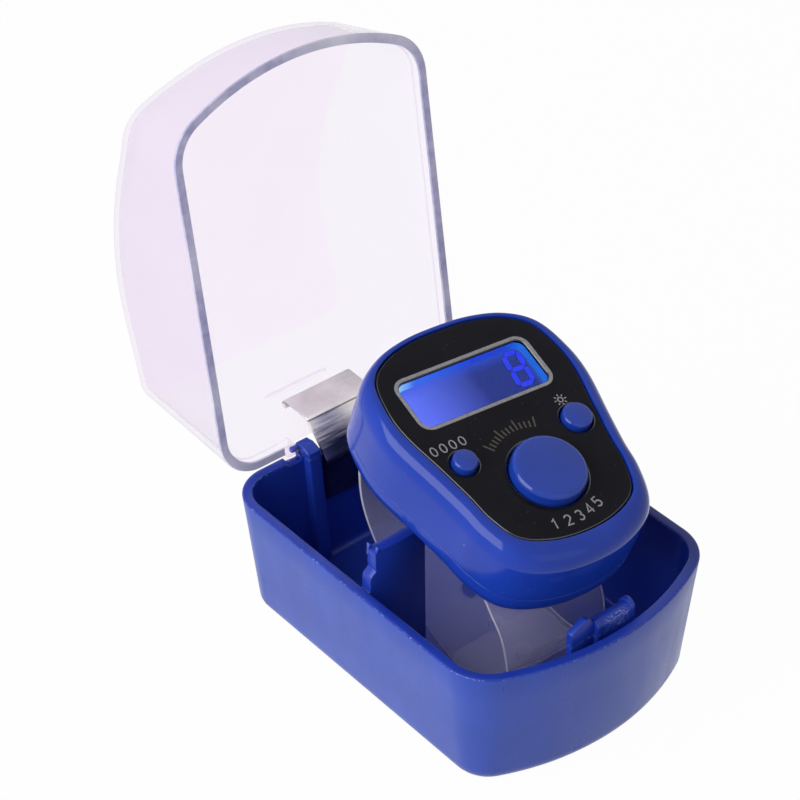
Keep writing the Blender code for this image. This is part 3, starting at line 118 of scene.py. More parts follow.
UPPER_SEAM, LOWER_SEAM, SEAM_EDGE_R, SIDE_LEVEL = -PARTING - 0.13, -PARTING - 0.19, 0.04, -6.0
PANEL_THICKNESS, PANEL_EDGE_R, DECK_TOP, DECK_UNDER = 1.0, 0.3, -1.3, -2.6
CAVITY = BODY_MARGIN - SHELL_WALL
FLOOR_TOP = -BODY_THICKNESS + 1.8
DISPLAY, WINDOW_WIDTH, WINDOW_HEIGHT, WINDOW_R = (-0.4, 7.6), 22.2, 8.3, 1.4
GLASS_WIDTH, GLASS_HEIGHT, GLASS_TOP, GLASS_UNDER, GLASS_R = 21.6, 7.8, -1.5, -2.9, 0.25
BUTTON_CLEARANCE, WIDE_BUTTON_R, WINDOW_SOFT_R, SMALLEST_WINDOW_R = 0.22, 3.0, 0.1, 0.2

# Dished mouths of the button holes as flare and depth, and how far a cut edge runs past the panel's face
WIDE_DISH, SMALL_DISH, MOUTH_LIP, WINDOW_LIP = (0.6, 0.3), (0.45, 0.25), 0.004, 0.002

# Buttons: place, radius, rise, edge rounding, travel, dome
BUTTONS = {
    "count": ((0.3, -10.15), 5.6, 2.15, 1.0, 1.0, 0.3),
    "reset": ((-9.9, -3.85), 1.9, 1.35, 0.6, 0.6, 0.16),
    "led": ((9.9, -3.85), 2.3, 1.2, 0.6, 0.6, 0.18),
}
DOME_SHARES = (0.93, 0.85, 0.7, 0.5, 0.3, 0.12)
FLANGE_TOP, FLANGE_LIP, FLANGE_THICKNESS, PLUNGER_R, DOME_TOP = -2.9, 1.0, 0.8, 0.9, -5.6
CELL_R, CELL_SPACING, CELL_Y, COVER_TOP = 5.8, 12.2, 1.0, -BODY_THICKNESS + 0.8
COVER_HALF_WIDTH, COVER_Y = 12.5, (-5.4, 10.6)
COVER_SCREW_PLACE, COVER_BOSS_TOP, COVER_BOSS_DROP, COVER_R = (0.0, 9.0), -8.15, 0.2, 1.5
SCREW_SHANK_R, SCREW_HEAD_R, BOSS_R, COLUMN_R = 0.6, 1.25, 1.7, 2.2
SCREW_PLACES = ((-12.5, 13.3), (12.5, 13.3), (-8.7, -17.0), (8.7, -17.0))
BOARD_SCREW_PLACES, BOARD_BOSS_END = ((-9.5, -10.3), (9.5, -10.3)), -6.9
BOSS_SIDES, PILOT_SIDES, WELL_SIDES, HOLE_SIDES = 28, 20, 32, 48

# Pieces round the display, as growths from the window and heights
PANE_LEVELS = ((-0.1, -0.55), (-0.1, -0.25), (-0.15, -0.18))
WELL_SECTION = ((-0.02, -0.6), (-0.02, GLASS_TOP - 0.3), (-0.5, GLASS_TOP - 0.3), (-0.42, GLASS_TOP + 0.02))
BEZEL_SECTION = ((0.12, -0.02), (0.68, -0.02), (0.66, 0.05), (0.14, 0.05))

# The digit shown, and the layers of its bars: name, growth, underside and top above the cell, finish
DIGIT_CENTRE, DIGIT_HEIGHT, DIGIT_WIDTH = (8.1, 7.9), 6.5, 3.35
DIGIT_SLANT, DIGIT_BAR, DIGIT_JOINT = 0.125, 0.85, 0.08
DIGIT_LAYERS = (("bar", 0.0, 0.05, 0.08, "digit"), ("edge", 0.09, 0.01, 0.04, "outline"))

# Finger strap, middle lines as shares of the height of the counter's face
STRAP_WIDTH, STRAP_THICKNESS, STRAP_STUB, STRAP_EDGE_R = 19.0, 0.8, 1.6, 0.28
STRAP_SLOT_Y, STRAP_HEAD_HALF, STRAP_HEAD_HEIGHT = (13.4, -10.2), 1.1, 1.0
STRAP_END_LENGTH, STRAP_END_SHRINK, STRAP_SLOT_R, STRAP_HEAD_EDGE_R = 2.6, 0.16, 0.3, 0.2
LONG_STRAP = (
    (0.378, 0.676), (0.385, 0.571), (0.36, 0.461), (0.285, 0.354), (0.166, 0.265),
    (0.036, 0.187), (-0.105, 0.119), (-0.251, 0.094), (-0.351, 0.142), (-0.385, 0.233),
)
SHORT_STRAP = ((-0.278, 0.511), (-0.333, 0.438), (-0.385, 0.361))
COARSE_STEPS, LAP_SECTIONS, LAP_DEPTH = 2, 7, STRAP_THICKNESS + 0.5
HOLE_SECTIONS, STUD_SECTIONS = (4, 6, 8, 10), (4, 6)
STRAP_HOLE_R, STUD_R, STUD_HEAD_R, STUD_HEAD_HEIGHT = 1.3, 0.9, 1.5, 0.5
STUD_BEVEL, STUD_LIP, STUD_DOME_SHARES = 0.1, 0.12, (0.85, 0.6, 0.3)

# Marks on the panel. Sizes are height and line width
MARK_BASE, MARK_TOP, FIGURE_MIDDLE = -0.01, 0.035, (0.3, 0.5)
SCALE_CENTRE, SCALE_START, SCALE_STEP, SCALE_LINES = (0.3, -10.15), 68, 5, 13
SCALE_NEAR, SCALE_SHORT, SCALE_LONG, SCALE_WIDTH = 8.0, 9.1, 9.8, 0.26
ZERO_PLACE, ZERO_STEP, ZERO_COUNT, ZERO_SIZE = (-12.85, -0.42), 1.62, 4, (1.45, 0.19)
LAMP_SIGN_PLACE, LAMP_SIGN_SIZE, COUNT_SIZE = (9.6, -0.2), (1.8, 0.18), (1.6, 0.22)
COUNT_MARKS = (
    (-3.93, -17.85, -8), (-1.75, -18.1, -3), (0.25, -18.1, 4), (2.15, -17.75, 11), (3.9, -17.25, 15),
)

# Facets, and the angles in degrees from which an edge is drawn or made sharp
CORNER_STEPS, FRONT_STEPS, SIDE_STEPS, LID_SIDE_STEPS = 14, 28, 12, 24
ROUND_SIDES, SMALL_BUTTON_SIDES, ROD_SIDES = 72, 40, 36
EDGE_STEPS, BEND_STEPS, OUTLINE_STEPS, STRAP_STEPS, ROOF_STEPS = 6, 8, 9, 8, 12
TOP_STEPS, BOTTOM_STEPS, BAR_STEPS, ROUNDING_STEPS = 14, 12, 14, 8
PANEL_STEPS, RIM_STEPS, SMALL_STEPS, FINE_SEGMENTS = 5, 4, 3, 4
SHARP, SHARP_RING, SHARP_CAP, SHARP_BEND, BEVEL_ANGLE = 35.0, 30.0, 40.0, 50.0, 40.0

# Where a second finish starts: post as (x, y), catch as (x, y), lug as (x, x, y), bands and slopes
POST_ZONE, CATCH_ZONE, LUG_ZONE = (20.95, 1.3), (7.2, -29.4), (7.0, 9.6, 20.0)
RIM_BAND, LID_RIM_BAND, DOWN_SLOPE, END_SHARE, LUG_SLOPE = 0.2, 0.3, -0.3, 0.6, 0.5
LID_WALL_SLOPE, PANEL_SLOPES, STRAP_SLOPE, STRAP_BAND = 0.6, (0.15, 0.97), 0.8, 1.5

# Where the wear and the painted shade lie, along X, Y and Z. The far side of the inside and the leaf's leg
# and fold take painted shade
WORN_RIM, WORN_SIDE, WORN_END, PALE_FLAKES = (21.4, 21.86), (20.9, 21.2), (24.0, 24.5), (28.3, 28.8)
FAR_SIDE_SHADE, SCUFF_X, SCUFF_Z = (15.0, 20.0), (-1.2, -0.4, 3.0, 3.6), (21.6, 22.2)
SCUFF_Y = (-28.2, -28.6, -29.6, -29.4)
LEAF_SHADED_LEG, LEAF_CREASE = (21.2, 24.5), 25.38

# Camera and light, in metres and degrees. Lamps: name, place, size, power
CAMERA_PLACE, CAMERA_ANGLES = (-0.18639, -0.21289, 0.25916), (52.90863, 0.67901, -39.48735)
CAMERA_LENS, SENSOR_WIDTH, CLIP_START = 112.35, 36.0, 0.01
LAMPS = (("key", (-0.50, 0.02, 0.36), 0.48, 3.5), ("fill", (0.05, -0.50, 0.20), 0.3, 0.12))
LAMP_AIM = (0.0, 0.0, 0.03)
FLOOR_SIZE, FLOOR_PLACE, FLOOR_GLOW, WORLD_LIGHT = 6.0, (0.0, 0.0, -0.0001), 0.975, 0.36

# Finishes of the inner pieces, which keep their own solids
INNER_FINISHES = {
    "zebra": ("zebra_strip",), "guide_white": ("backlight_guide", "backlight_led"),
    "rubber_grey": ("keypad_mat",), "board_green": ("circuit_board",), "resin_black": ("chip_blob",),
    "brass": ("piezo_buzzer",), "counter_blue": ("battery_cover",),
    "steel": (
        "battery_cell_left", "battery_cell_right", "battery_contact_upper", "battery_contact_lower",
        "battery_cover_screw", "board_screw_1", "board_screw_2", *(f"shell_screw_{i}" for i in range(1, 5)),
    ),
}


# ---- Shader nodes ----


class Paint:
    """A material that is built up node by node."""

    def __init__(self, name):
        self.material = bpy.data.materials.new(name)
        self.material.use_nodes = True
        self.tree = self.material.node_tree
        self.shader = self.tree.nodes["Principled BSDF"]
        self.place = self.node("ShaderNodeTexCoord").outputs["Object"]

    def node(self, kind, **settings):
        made = self.tree.nodes.new(kind)
        for key, value in settings.items():
            setattr(made, key, value)
        return made

    def put(self, socket, value):
        """Feeds a socket from another one, or sets it to a number or a colour."""
        if isinstance(value, bpy.types.NodeSocket):
            self.tree.links.new(value, socket)
        elif socket.type == "RGBA":
            socket.default_value = (*value, 1.0)
        else:
            socket.default_value = value

    def fill(self, node, **values):
        for key, value in values.items():
            self.put(node.inputs[key.replace("_", " ")], value)
        return node

    def set(self, **values):
        self.fill(self.shader, **values)
        return self

    def stretched(self, scale):
        return self.fill(self.node("ShaderNodeMapping"), Scale=scale, Vector=self.place).outputs["Vector"]

    def noise(self, scale, detail=3.0, rough=0.55, vector=None, distortion=0.0):
        made = self.fill(self.node("ShaderNodeTexNoise"), Scale=scale, Detail=detail, Roughness=rough)
        return self.fill(made, Distortion=distortion, Vector=vector or self.place).outputs["Fac"]

    def span(self, value, from_low, from_high, to_low=0.0, to_high=1.0):
        made = self.fill(self.node("ShaderNodeMapRange"), From_Min=from_low, From_Max=from_high)
        return self.fill(made, To_Min=to_low, To_Max=to_high, Value=value).outputs["Result"]

    def reach(self, value, from_low, from_high, to_low=0.0, to_high=1.0):
        """A span whose value is a place, with its limits in millimetres."""
        return self.span(value, from_low * MM, from_high * MM, to_low, to_high)

    def mix(self, factor, first, second):
        made = self.node("ShaderNodeMix", data_type="RGBA")
        for index, value in ((0, factor), (6, first), (7, second)):
            self.put(made.inputs[index], value)
        return made.outputs[2]

    def shade(self, value, low, high, first, second):
        """A colour that goes from the first to the second as the value goes from low to high."""
        return self.mix(self.span(value, low, high), first, second)

    def maths(self, operation, first, second=0.0):
        made = self.node("ShaderNodeMath", operation=operation)
        for socket, value in zip(made.inputs, (first, second)):
            self.put(socket, value)
        return made.outputs[0]

    def toward(self, tone, share, power, other):
        """A tone that turns into another one by a power of the share."""
        return self.mix(self.maths("POWER", share, power), tone, other)

    def times(self, first, second):
        return self.maths("MULTIPLY", first, second)

    def axis(self, name):
        made = self.node("ShaderNodeSeparateXYZ")
        self.put(made.inputs[0], self.place)
        return made.outputs[name]

    def bump(self, *heights):
        """Each height is (socket, strength, distance in mm)."""
        normal = None
        for socket, strength, distance in heights:
            made = self.fill(self.node("ShaderNodeBump"), Strength=strength, Distance=distance * MM)
            self.fill(made, Height=socket)
            if normal:
                self.fill(made, Normal=normal)
            normal = made.outputs["Normal"]
        return self.set(Normal=normal)

    def glow(self, tone, roughness):
        """Light of this tone from an almost black surface."""
        self.set(Base_Color=(0.004, 0.006, 0.02), Roughness=roughness, Specular_IOR_Level=0.03)
        return self.set(Emission_Strength=1.0, Emission_Color=tone)


def scaled(colour, factor):
    return tuple(c * factor for c in colour)


def moulded(name, colour, roughness, grain=0.02, speck=0.0, gloss=0.5, uneven=0.16, overlay=None):
    """Moulded plastic: faint flow clouds, a fine grain, a few pale rub marks, and any overlay it is given,
    which for the inside of the case is worn marks with painted shade.
    """
    paint = Paint(name).set(Specular_IOR_Level=gloss)
    light = tuple(min(c * 1.07 + 0.002, 1.0) for c in colour)
    base = paint.shade(paint.noise(90.0, 4.0), 0.35, 0.65, scaled(colour, 0.93), light)
    if speck:
        patch = paint.span(paint.noise(160.0, 2.0), 0.52, 0.62, 0.0, speck)
        marks = paint.times(paint.span(paint.noise(1500.0, 2.0), 0.70, 0.76), patch)
        base = paint.mix(marks, base, (0.3, 0.38, 0.7))
    if overlay:
        base = overlay(paint, base)
    smear = paint.noise(260.0, 3.0, 0.6, paint.stretched((1.0, 1.0, 0.25)))
    low, high = roughness * (1 - uneven), roughness * (1 + uneven)
    paint.set(Base_Color=base, Roughness=paint.span(smear, 0.3, 0.7, low, high))
    waves = (paint.noise(55.0, 1.0), 0.15, 0.75 * uneven)
    return paint.bump((paint.noise(2600.0, 2.0), 0.25, grain), waves)


def inner_wear_and_shade(paint, base):
    """Chips along the rim's inner edge, a scuffed catch, paler post flakes, and painted shade that darkens
    the far side wall.
    """
    x, y, z = (paint.axis(name) for name in "XYZ")
    low, high = WORN_RIM
    band = paint.times(paint.reach(z, low - 0.2, low), paint.reach(z, high - 0.05, high, 1.0, 0.0))
    at_side = paint.reach(paint.maths("ABSOLUTE", x), *WORN_SIDE)
    at_end = paint.reach(paint.maths("ABSOLUTE", y), *WORN_END)
    band = paint.times(band, paint.maths("MAXIMUM", at_side, at_end))
    chips = paint.span(paint.noise(2300.0, 4.0, 0.75), 0.55, 0.66, 0.0, 0.5)
    base = paint.mix(paint.times(band, chips), base, (0.5, 0.56, 0.9))
    base = paint.mix(stress_marks(paint, x, y, z), base, (0.6, 0.66, 0.95))
    base = paint.mix(paint.reach(z, *PALE_FLAKES, 0.0, 0.5), base, (0.12, 0.22, 0.75))
    # Painted shade: the inside of the far side wall is darkened where shade falls
    return paint.mix(paint.reach(x, *FAR_SIDE_SHADE, 0.0, 0.75), base, (0.006, 0.018, 0.20))


def stress_marks(paint, x, y, z):
    """Whitened scratches on the front of the catch, as a factor."""
    noise = paint.noise(2600.0, 3.0, 0.6, paint.stretched((0.35, 1.0, 1.0)))
    line = paint.span(paint.maths("ABSOLUTE", paint.maths("SUBTRACT", noise, 0.5)), 0.004, 0.020, 1.0, 0.0)
    spread = paint.times(paint.reach(x, *SCUFF_X[:2]), paint.reach(x, *SCUFF_X[2:], 1.0, 0.0))
    front = paint.times(paint.reach(y, *SCUFF_Y[:2]), paint.reach(y, *SCUFF_Y[2:]))
    above = paint.reach(z, *SCUFF_Z, 0.0, 0.55)
    return paint.times(paint.times(line, spread), paint.times(front, above))


def clear_plastic(name, colour, roughness, haze, ior, waves, edge=None):
    """Clear moulded plastic with slight waves, streaks of flow, fine scratches, and painted shade that
    darkens its tint where the surface is seen edge-on.
    """
    paint = Paint(name).set(Transmission_Weight=1.0 - haze, IOR=ior)
    flow = paint.noise(60.0, 3.0, 0.5, paint.stretched((1.0, 0.35, 1.0)), 0.6)
    tone = paint.shade(flow, 0.3, 0.7, scaled(colour, 0.985), colour)
    if edge:
        # Painted shade: the tint turns to the edge colour where the surface is seen edge-on
        facing = paint.node("ShaderNodeLayerWeight").outputs["Facing"]
        tone = paint.toward(tone, facing, 6.0, edge)
    fine = paint.noise(900.0, 2.0, 0.5, paint.stretched((1.0, 0.08, 1.0)))
    rough = paint.span(fine, 0.35, 0.75, roughness, roughness * 1.8 + 0.003)
    return paint.set(Base_Color=tone, Roughness=rough).bump((flow, waves, 0.25), (fine, 0.05, 0.01))


def rim_painted_shade(name):
    """The lid's edge seen end on, painted opaque violet-grey: painted shade for the darker look of the clear
    plastic seen through its length, streaked where the plastic flowed.
    """
    paint = Paint(name).set(Specular_IOR_Level=0.2)
    streak, cloud = paint.noise(420.0, 4.0, 0.65), paint.noise(45.0, 2.0)
    tone = paint.shade(streak, 0.35, 0.68, (0.40, 0.39, 0.62), (0.63, 0.60, 0.81))
    tone = paint.mix(paint.span(cloud, 0.48, 0.64, 0.0, 0.9), tone, (0.84, 0.82, 0.93))
    paint.set(Base_Color=tone, Roughness=paint.span(streak, 0.3, 0.7, 0.25, 0.45))
    return paint.bump((streak, 0.15, 0.03))


def metal(name, colour, roughness, brush=(1.0, 0.04, 1.0), overlay=None):
    """Sheet or wire metal, brushed along one way, with faint stains, and any overlay it is given, which for
    the leaf is painted shade and reflection.
    """
    paint = Paint(name).set(Metallic=1.0)
    lines = paint.noise(2600.0, 3.0, 0.6, paint.stretched(brush))
    tone = paint.shade(paint.noise(130.0, 3.0), 0.4, 0.75, colour, scaled(colour, 0.72))
    if overlay:
        tone = overlay(paint, tone, lines)
    rough = paint.span(lines, 0.3, 0.7, roughness * 0.75, roughness * 1.3)
    return paint.set(Base_Color=tone, Roughness=rough).bump((lines, 0.2, 0.01))


def leaf_painted_shade(paint, tone, lines):
    """Painted light on the leaf: its leg darkened in streaks towards its foot with a painted dark blue
    reflection and shade, and a painted shade line along its fold.
    """
    low, high = LEAF_SHADED_LEG
    x, z = paint.axis("X"), paint.axis("Z")
    streaks = paint.times(paint.maths("SUBTRACT", lines, 0.5), 3.5 * MM)
    height = paint.maths("ADD", z, paint.maths("ADD", streaks, paint.times(x, 0.1)))
    leg = paint.times(paint.reach(z, high + 0.2, high - 0.2), paint.reach(height, low, high, 1.0, 0.0))
    # Painted reflection and shade: the leg turns dark navy
    tone = paint.mix(leg, tone, (0.050, 0.054, 0.13))
    crease = paint.maths("ABSOLUTE", paint.maths("SUBTRACT", z, LEAF_CREASE * MM))
    # Painted shade along the fold
    return paint.mix(paint.reach(crease, 0.05, 0.13, 0.85, 0.0), tone, (0.13, 0.11, 0.10))


def lit_display(name):
    """The display cell, lit from the left: bright at the left, slate in the middle, edges aglow."""
    paint = Paint(name)
    x, y = paint.axis("X"), paint.axis("Y")
    half = GLASS_WIDTH / 2
    left = paint.maths("POWER", paint.reach(x, -half, 0.12 * half, 1.0, 0.0), 0.9)
    left = paint.times(left, paint.span(paint.noise(160.0, 2.0), 0.3, 0.7, 0.94, 1.06))
    field = paint.mix(left, (0.019, 0.033, 0.21), (0.120, 0.178, 0.97))
    top = paint.reach(y, DISPLAY[1] + 1.4, DISPLAY[1] + GLASS_HEIGHT / 2, 0.0, 0.8)
    field = paint.toward(field, top, 1.8, (0.03, 0.09, 0.72))
    right = paint.reach(x, half * 0.84, half, 0.0, 0.8)
    field = paint.toward(field, right, 1.5, (0.04, 0.15, 0.75))
    grain = paint.noise(2400.0, 1.0)
    field = paint.mix(paint.span(grain, 0.4, 0.6, 0.0, 0.05), field, (0.1, 0.14, 0.5))
    return paint.glow(field, 0.3).bump((grain, 0.1, 0.01))


def glowing(name, colour):
    paint = Paint(name)
    return paint.glow(paint.shade(paint.noise(500.0, 2.0), 0.3, 0.7, scaled(colour, 0.88), colour), 0.35)


def lit_well(name):
    """The walls round the display, aglow most at the upper left."""
    paint = Paint(name)
    x = paint.axis("X")
    half = WINDOW_WIDTH / 2
    tone = paint.mix(paint.reach(x, -half, half * 0.2, 1.0, 0.0), (0.016, 0.055, 0.62), (0.055, 0.19, 0.95))
    tone = paint.mix(paint.reach(x, half * 0.72, half * 0.98), tone, (0.012, 0.16, 0.74))
    hot = paint.reach(x, -half, -half * 0.70, 1.0, 0.0)
    tone = paint.toward(tone, hot, 1.4, (0.36, 0.74, 1.0))
    tone = paint.mix(paint.span(paint.noise(420.0, 2.0), 0.35, 0.65, 0.0, 0.25), tone, (0.01, 0.05, 0.45))
    return paint.glow(tone, 0.3)


def printed(name, colour, roughness=0.5):
    paint = Paint(name)
    overlay = paint.noise(1800.0, 3.0)
    rough = paint.span(overlay, 0.3, 0.7, roughness * 0.8, roughness * 1.2)
    tone = paint.shade(overlay, 0.35, 0.7, colour, scaled(colour, 0.7))
    return paint.set(Base_Color=tone, Roughness=rough).bump((overlay, 0.2, 0.01))


def board_paint(name):
    """Green lacquer over copper tracks."""
    paint = Paint(name).set(Coat_Weight=0.4, Coat_Roughness=0.2)
    tracks = paint.fill(paint.node("ShaderNodeTexBrick"), Scale=420.0, Mortar_Size=0.03, Vector=paint.place)
    paint.fill(tracks, Color1=(0.012, 0.12, 0.045), Color2=(0.014, 0.14, 0.05), Mortar=(0.03, 0.23, 0.08))
    cloud = paint.noise(300.0, 3.0)
    tone = paint.mix(paint.span(cloud, 0.4, 0.7, 0.0, 0.4), tracks.outputs["Color"], (0.01, 0.09, 0.035))
    paint.set(Base_Color=tone, Roughness=paint.span(cloud, 0.3, 0.7, 0.35, 0.5))
    return paint.bump((tracks.outputs["Fac"], 0.2, 0.03))


def panel_paint(name, gloss):
    """Glossy black with dust, a few hairlines and a faint orange peel."""
    paint = Paint(name).set(Specular_IOR_Level=gloss)
    dust = paint.span(paint.noise(2100.0, 1.0), 0.74, 0.79, 0.0, 0.5)
    base = paint.shade(paint.noise(120.0, 3.0), 0.3, 0.7, (0.0050, 0.0050, 0.0085), (0.0078, 0.0078, 0.0122))
    lines = paint.noise(700.0, 2.0, 0.5, paint.stretched((0.05, 1.0, 1.0)))
    rough = paint.span(lines, 0.3, 0.8, 0.14, 0.28)
    paint.set(Base_Color=paint.mix(dust, base, (0.12, 0.12, 0.14)), Roughness=rough)
    return paint.bump((paint.noise(420.0, 2.0), 0.12, 0.02), (dust, 0.3, 0.01))


def make_materials():
    lid = (0.0, 0.03, 1.015, 0.006)
    return {
        "case_blue": moulded("case_blue_matt", (0.013, 0.054, 0.38), 0.31, 0.010, 0.3, 0.45),
        "case_inner": moulded(
            "case_blue_inner", (0.011, 0.038, 0.35), 0.28, 0.004, 0.0, 0.3, 0.0, inner_wear_and_shade
        ),
        # The last colour of each lid finish is its painted shade where seen edge-on
        "case_clear": clear_plastic("case_clear_lid", (0.948, 0.886, 0.978), *lid, (0.72, 0.70, 0.76)),
        "case_wall": clear_plastic("case_clear_wall", (0.938, 0.905, 0.960), *lid, (0.68, 0.67, 0.72)),
        "case_rim": rim_painted_shade("case_clear_rim"),
        "nickel": metal("nickel_leaf", (0.76, 0.71, 0.73), 0.34, (0.06, 1.0, 1.0), leaf_painted_shade),
        "counter_blue": moulded("counter_blue_gloss", (0.009, 0.040, 0.36), 0.10, 0.003, 0.25, 0.22),
        "button_blue": moulded("button_blue_gloss", (0.007, 0.040, 0.345), 0.09, 0.003, 0.0, 0.34),
        "panel_black": panel_paint("panel_black_gloss", 0.07),
        "panel_edge": panel_paint("panel_black_edge", 0.9),
        "window_clear": clear_plastic("window_clear_pane", (0.99, 0.99, 1.0), 0.01, 0.0, 1.05, 0.02),
        "lcd_blue": lit_display("display_lit"),
        "digit": glowing("digit_lit", (0.028, 0.054, 0.88)),
        "outline": glowing("digit_edge", (0.014, 0.024, 0.17)),
        "well": lit_well("display_well_lit"),
        "guide_white": moulded("guide_milky", (0.72, 0.75, 0.8), 0.35, 0.01),
        "rubber_grey": moulded("rubber_matt", (0.30, 0.30, 0.31), 0.75, 0.03),
        "zebra": moulded("zebra_rubber", (0.42, 0.38, 0.36), 0.7, 0.02),
        "board_green": board_paint("board_lacquer"),
        "resin_black": moulded("resin_drop", (0.012, 0.012, 0.012), 0.3, 0.02),
        "brass": metal("brass_disc", (0.80, 0.60, 0.25), 0.28),
        "steel": metal("steel_bright", (0.66, 0.66, 0.65), 0.26),
        "strap_clear": clear_plastic("strap_frosted", (0.87, 0.86, 0.97), 0.01, 0.10, 1.05, 0.006),
        "strap_edge": clear_plastic("strap_frosted_edge", (0.80, 0.78, 0.92), 0.05, 0.45, 1.05, 0.01),
        "ink": printed("ink_pale", (0.29, 0.29, 0.31)),
        "bezel": printed("bezel_silver", (0.27, 0.265, 0.285), 0.4),
        "gold": printed("ink_dim_gold", (0.046, 0.036, 0.026)),
    }


# ---- Mesh building. A solid that another one takes up, or is cut with, has no paint of its own ----


def finish_mesh(name, bm, paint=None, matrix=None, sharp=SHARP):
    """A new object from a mesh in millimetres."""
    bmesh.ops.recalc_face_normals(bm, faces=bm.faces)
    mesh = bpy.data.meshes.new(name)
    bm.to_mesh(mesh)
    bm.free()
    mesh.transform(SCALE)
    mesh.shade_smooth()
    mesh.set_sharp_from_angle(angle=math.radians(sharp))
    if paint:
        mesh.materials.append(paint.material)
    obj = bpy.data.objects.new(name, mesh)
    bpy.context.scene.collection.objects.link(obj)
    if matrix is not None:
        obj.matrix_world = matrix
    return obj


def loft(name, rings, paint=None, matrix=None, sharp=SHARP, closed=False):
    """A solid through rings of equally many points, with flat ends, or joined end to end."""
    bm = bmesh.new()
    rows = [[bm.verts.new(point) for point in ring] for ring in rings]
    pairs = list(zip(rows, rows[1:]))
    if closed:
        pairs.append((rows[-1], rows[0]))
    for lower, upper in pairs:
        for i in range(len(lower)):
            j = (i + 1) % len(lower)
            bm.faces.new((lower[i], lower[j], upper[j], upper[i]))
    if not closed:
        bm.faces.new(rows[0])
        bm.faces.new(rows[-1])
    return finish_mesh(name, bm, paint, matrix, sharp)


def level(outline, z):
    return [Vector((x, y, z)) for x, y in outline]


def slab(name, outline, low, high, paint=None, matrix=None):
    return loft(name, [level(outline, low), level(outline, high)], paint, matrix)


def box(low, high):
    outline = ((low[0], low[1]), (high[0], low[1]), (high[0], high[1]), (low[0], high[1]))
    return slab("box", outline, low[2], high[2])


def circle(centre, radius, sides):
    angles = [2 * math.pi * i / sides for i in range(sides)]
    return [(centre[0] + radius * math.cos(a), centre[1] + radius * math.sin(a)) for a in angles]


def turned(name, centre, profile, paint=None, matrix=None, sides=ROUND_SIDES, sharp=SHARP):
    return loft(name, [level(circle(centre, r, sides), z) for r, z in profile], paint, matrix, sharp)


def rounded_rectangle(centre, width, height, radius, steps=EDGE_STEPS):
    points = []
    for quarter, (sx, sy) in enumerate(((1, 1), (-1, 1), (-1, -1), (1, -1))):
        cx = centre[0] + sx * (width / 2 - radius)
        cy = centre[1] + sy * (height / 2 - radius)
        for i in range(steps + 1):
            angle = (quarter + i / steps) * math.pi / 2
            points.append((cx + radius * math.cos(angle), cy + radius * math.sin(angle)))
    return points


def x_prism(profile, x_range):
    return loft("prism", [[Vector((x, y, z)) for y, z in profile] for x in x_range])


def y_prism(profile, y_range, side=1):
    return loft("prism", [[Vector((side * x, y, z)) for x, z in profile] for y in y_range])


def hinge_rod(radius, x_range):
    """A round rod on the hinge's axis, with softened ends."""
    low, high, end = min(x_range), max(x_range), radius - ROD_BEVEL
    places = ((low, end), (low + ROD_BEVEL, radius), (high - ROD_BEVEL, radius), (high, end))
    rings = [[Vector((x, y, z)) for y, z in circle((HINGE_Y, HINGE_Z), r, ROD_SIDES)] for x, r in places]
    return loft("rod", rings)


def soften(obj, width, segments=2):
    """Rounds the sharp edges of a simple solid and keeps the result."""
    modifier = obj.modifiers.new("bevel", "BEVEL")
    modifier.width = width * MM
    modifier.segments = segments
    modifier.limit_method = "ANGLE"
    modifier.angle_limit = math.radians(BEVEL_ANGLE)
    return apply(obj)


def apply(obj):
    bpy.context.view_layer.update()
    graph = bpy.context.evaluated_depsgraph_get()
    mesh = bpy.data.meshes.new_from_object(obj.evaluated_get(graph), depsgraph=graph)
    obj.modifiers.clear()
    obj.data = mesh
    return obj


def combine(target, tools, operation):
    own = list(target.data.materials)
    for tool in tools:
        modifier = target.modifiers.new(operation, "BOOLEAN")
        modifier.operation = operation
        modifier.object = tool
        modifier.solver = "EXACT"
    apply(target)
    mesh = target.data
    mesh.materials.clear()
    for material in own:
        mesh.materials.append(material)
    mesh.polygons.foreach_set("material_index", [0] * len(mesh.polygons))
    mesh.shade_smooth()
    mesh.set_sharp_from_angle(angle=math.radians(SHARP))
    for tool in tools:
        bpy.data.objects.remove(tool, do_unlink=True)
    return target


def cut(target, *tools):
    return combine(target, tools, "DIFFERENCE")


def fuse(target, *tools):
    return combine(target, tools, "UNION")


def second_finish(obj, paint, chosen):
    """Gives the faces that are chosen a further material."""
    obj.data.materials.append(paint.material)
    for face in obj.data.polygons:
        if chosen(face):
            face.material_index = len(obj.data.materials) - 1


def curve_through(points, steps, closed=False):
    """Points on a smooth Catmull-Rom curve through these points."""
    count = len(points)
    vectors = [Vector(p) for p in points]
    if not closed:
        vectors = [2 * vectors[0] - vectors[1], *vectors, 2 * vectors[-1] - vectors[-2]]
    result = []
    for i in range(count if closed else count - 1):
        if closed:
            a, b, c, d = (vectors[(i + k - 1) % count] for k in range(4))
        else:
            a, b, c, d = vectors[i : i + 4]
        for k in range(steps):
            t = k / steps
            bend = (2 * a - 5 * b + 4 * c - d) * t**2
            result.append((2 * b + (c - a) * t + bend + (3 * b - a - 3 * c + d) * t**3) / 2)
    if not closed:
        result.append(vectors[-2])
    return result


def offset_outline(points, distance):
    moved = []
    count = len(points)
    for i in range(count):
        before, here, after = (Vector(points[(i + k - 1) % count]) for k in range(3))
        first = (here - before).normalized()
        second = (after - here).normalized()
        out = Vector((first.y + second.y, -first.x - second.x)).normalized()
        stretch = 1 / math.sqrt(max((1 + first.dot(second)) / 2, 0.25))
        moved.append(here + out * distance * stretch)
    return [tuple(p) for p in moved]


def quarter_turn(steps):
    """(sine, cosine) pairs from nothing to a quarter turn."""
    angles = [math.pi / 2 * i / steps for i in range(steps + 1)]
    return [(math.sin(a), math.cos(a)) for a in angles]


def quarter_edge(radius, steps=EDGE_STEPS):
    """(inset, height) pairs round a quarter edge, from flat to upright."""
    return [(radius * (1 - sine), radius * (1 - cosine)) for sine, cosine in quarter_turn(steps)]


# ---- Case base ----


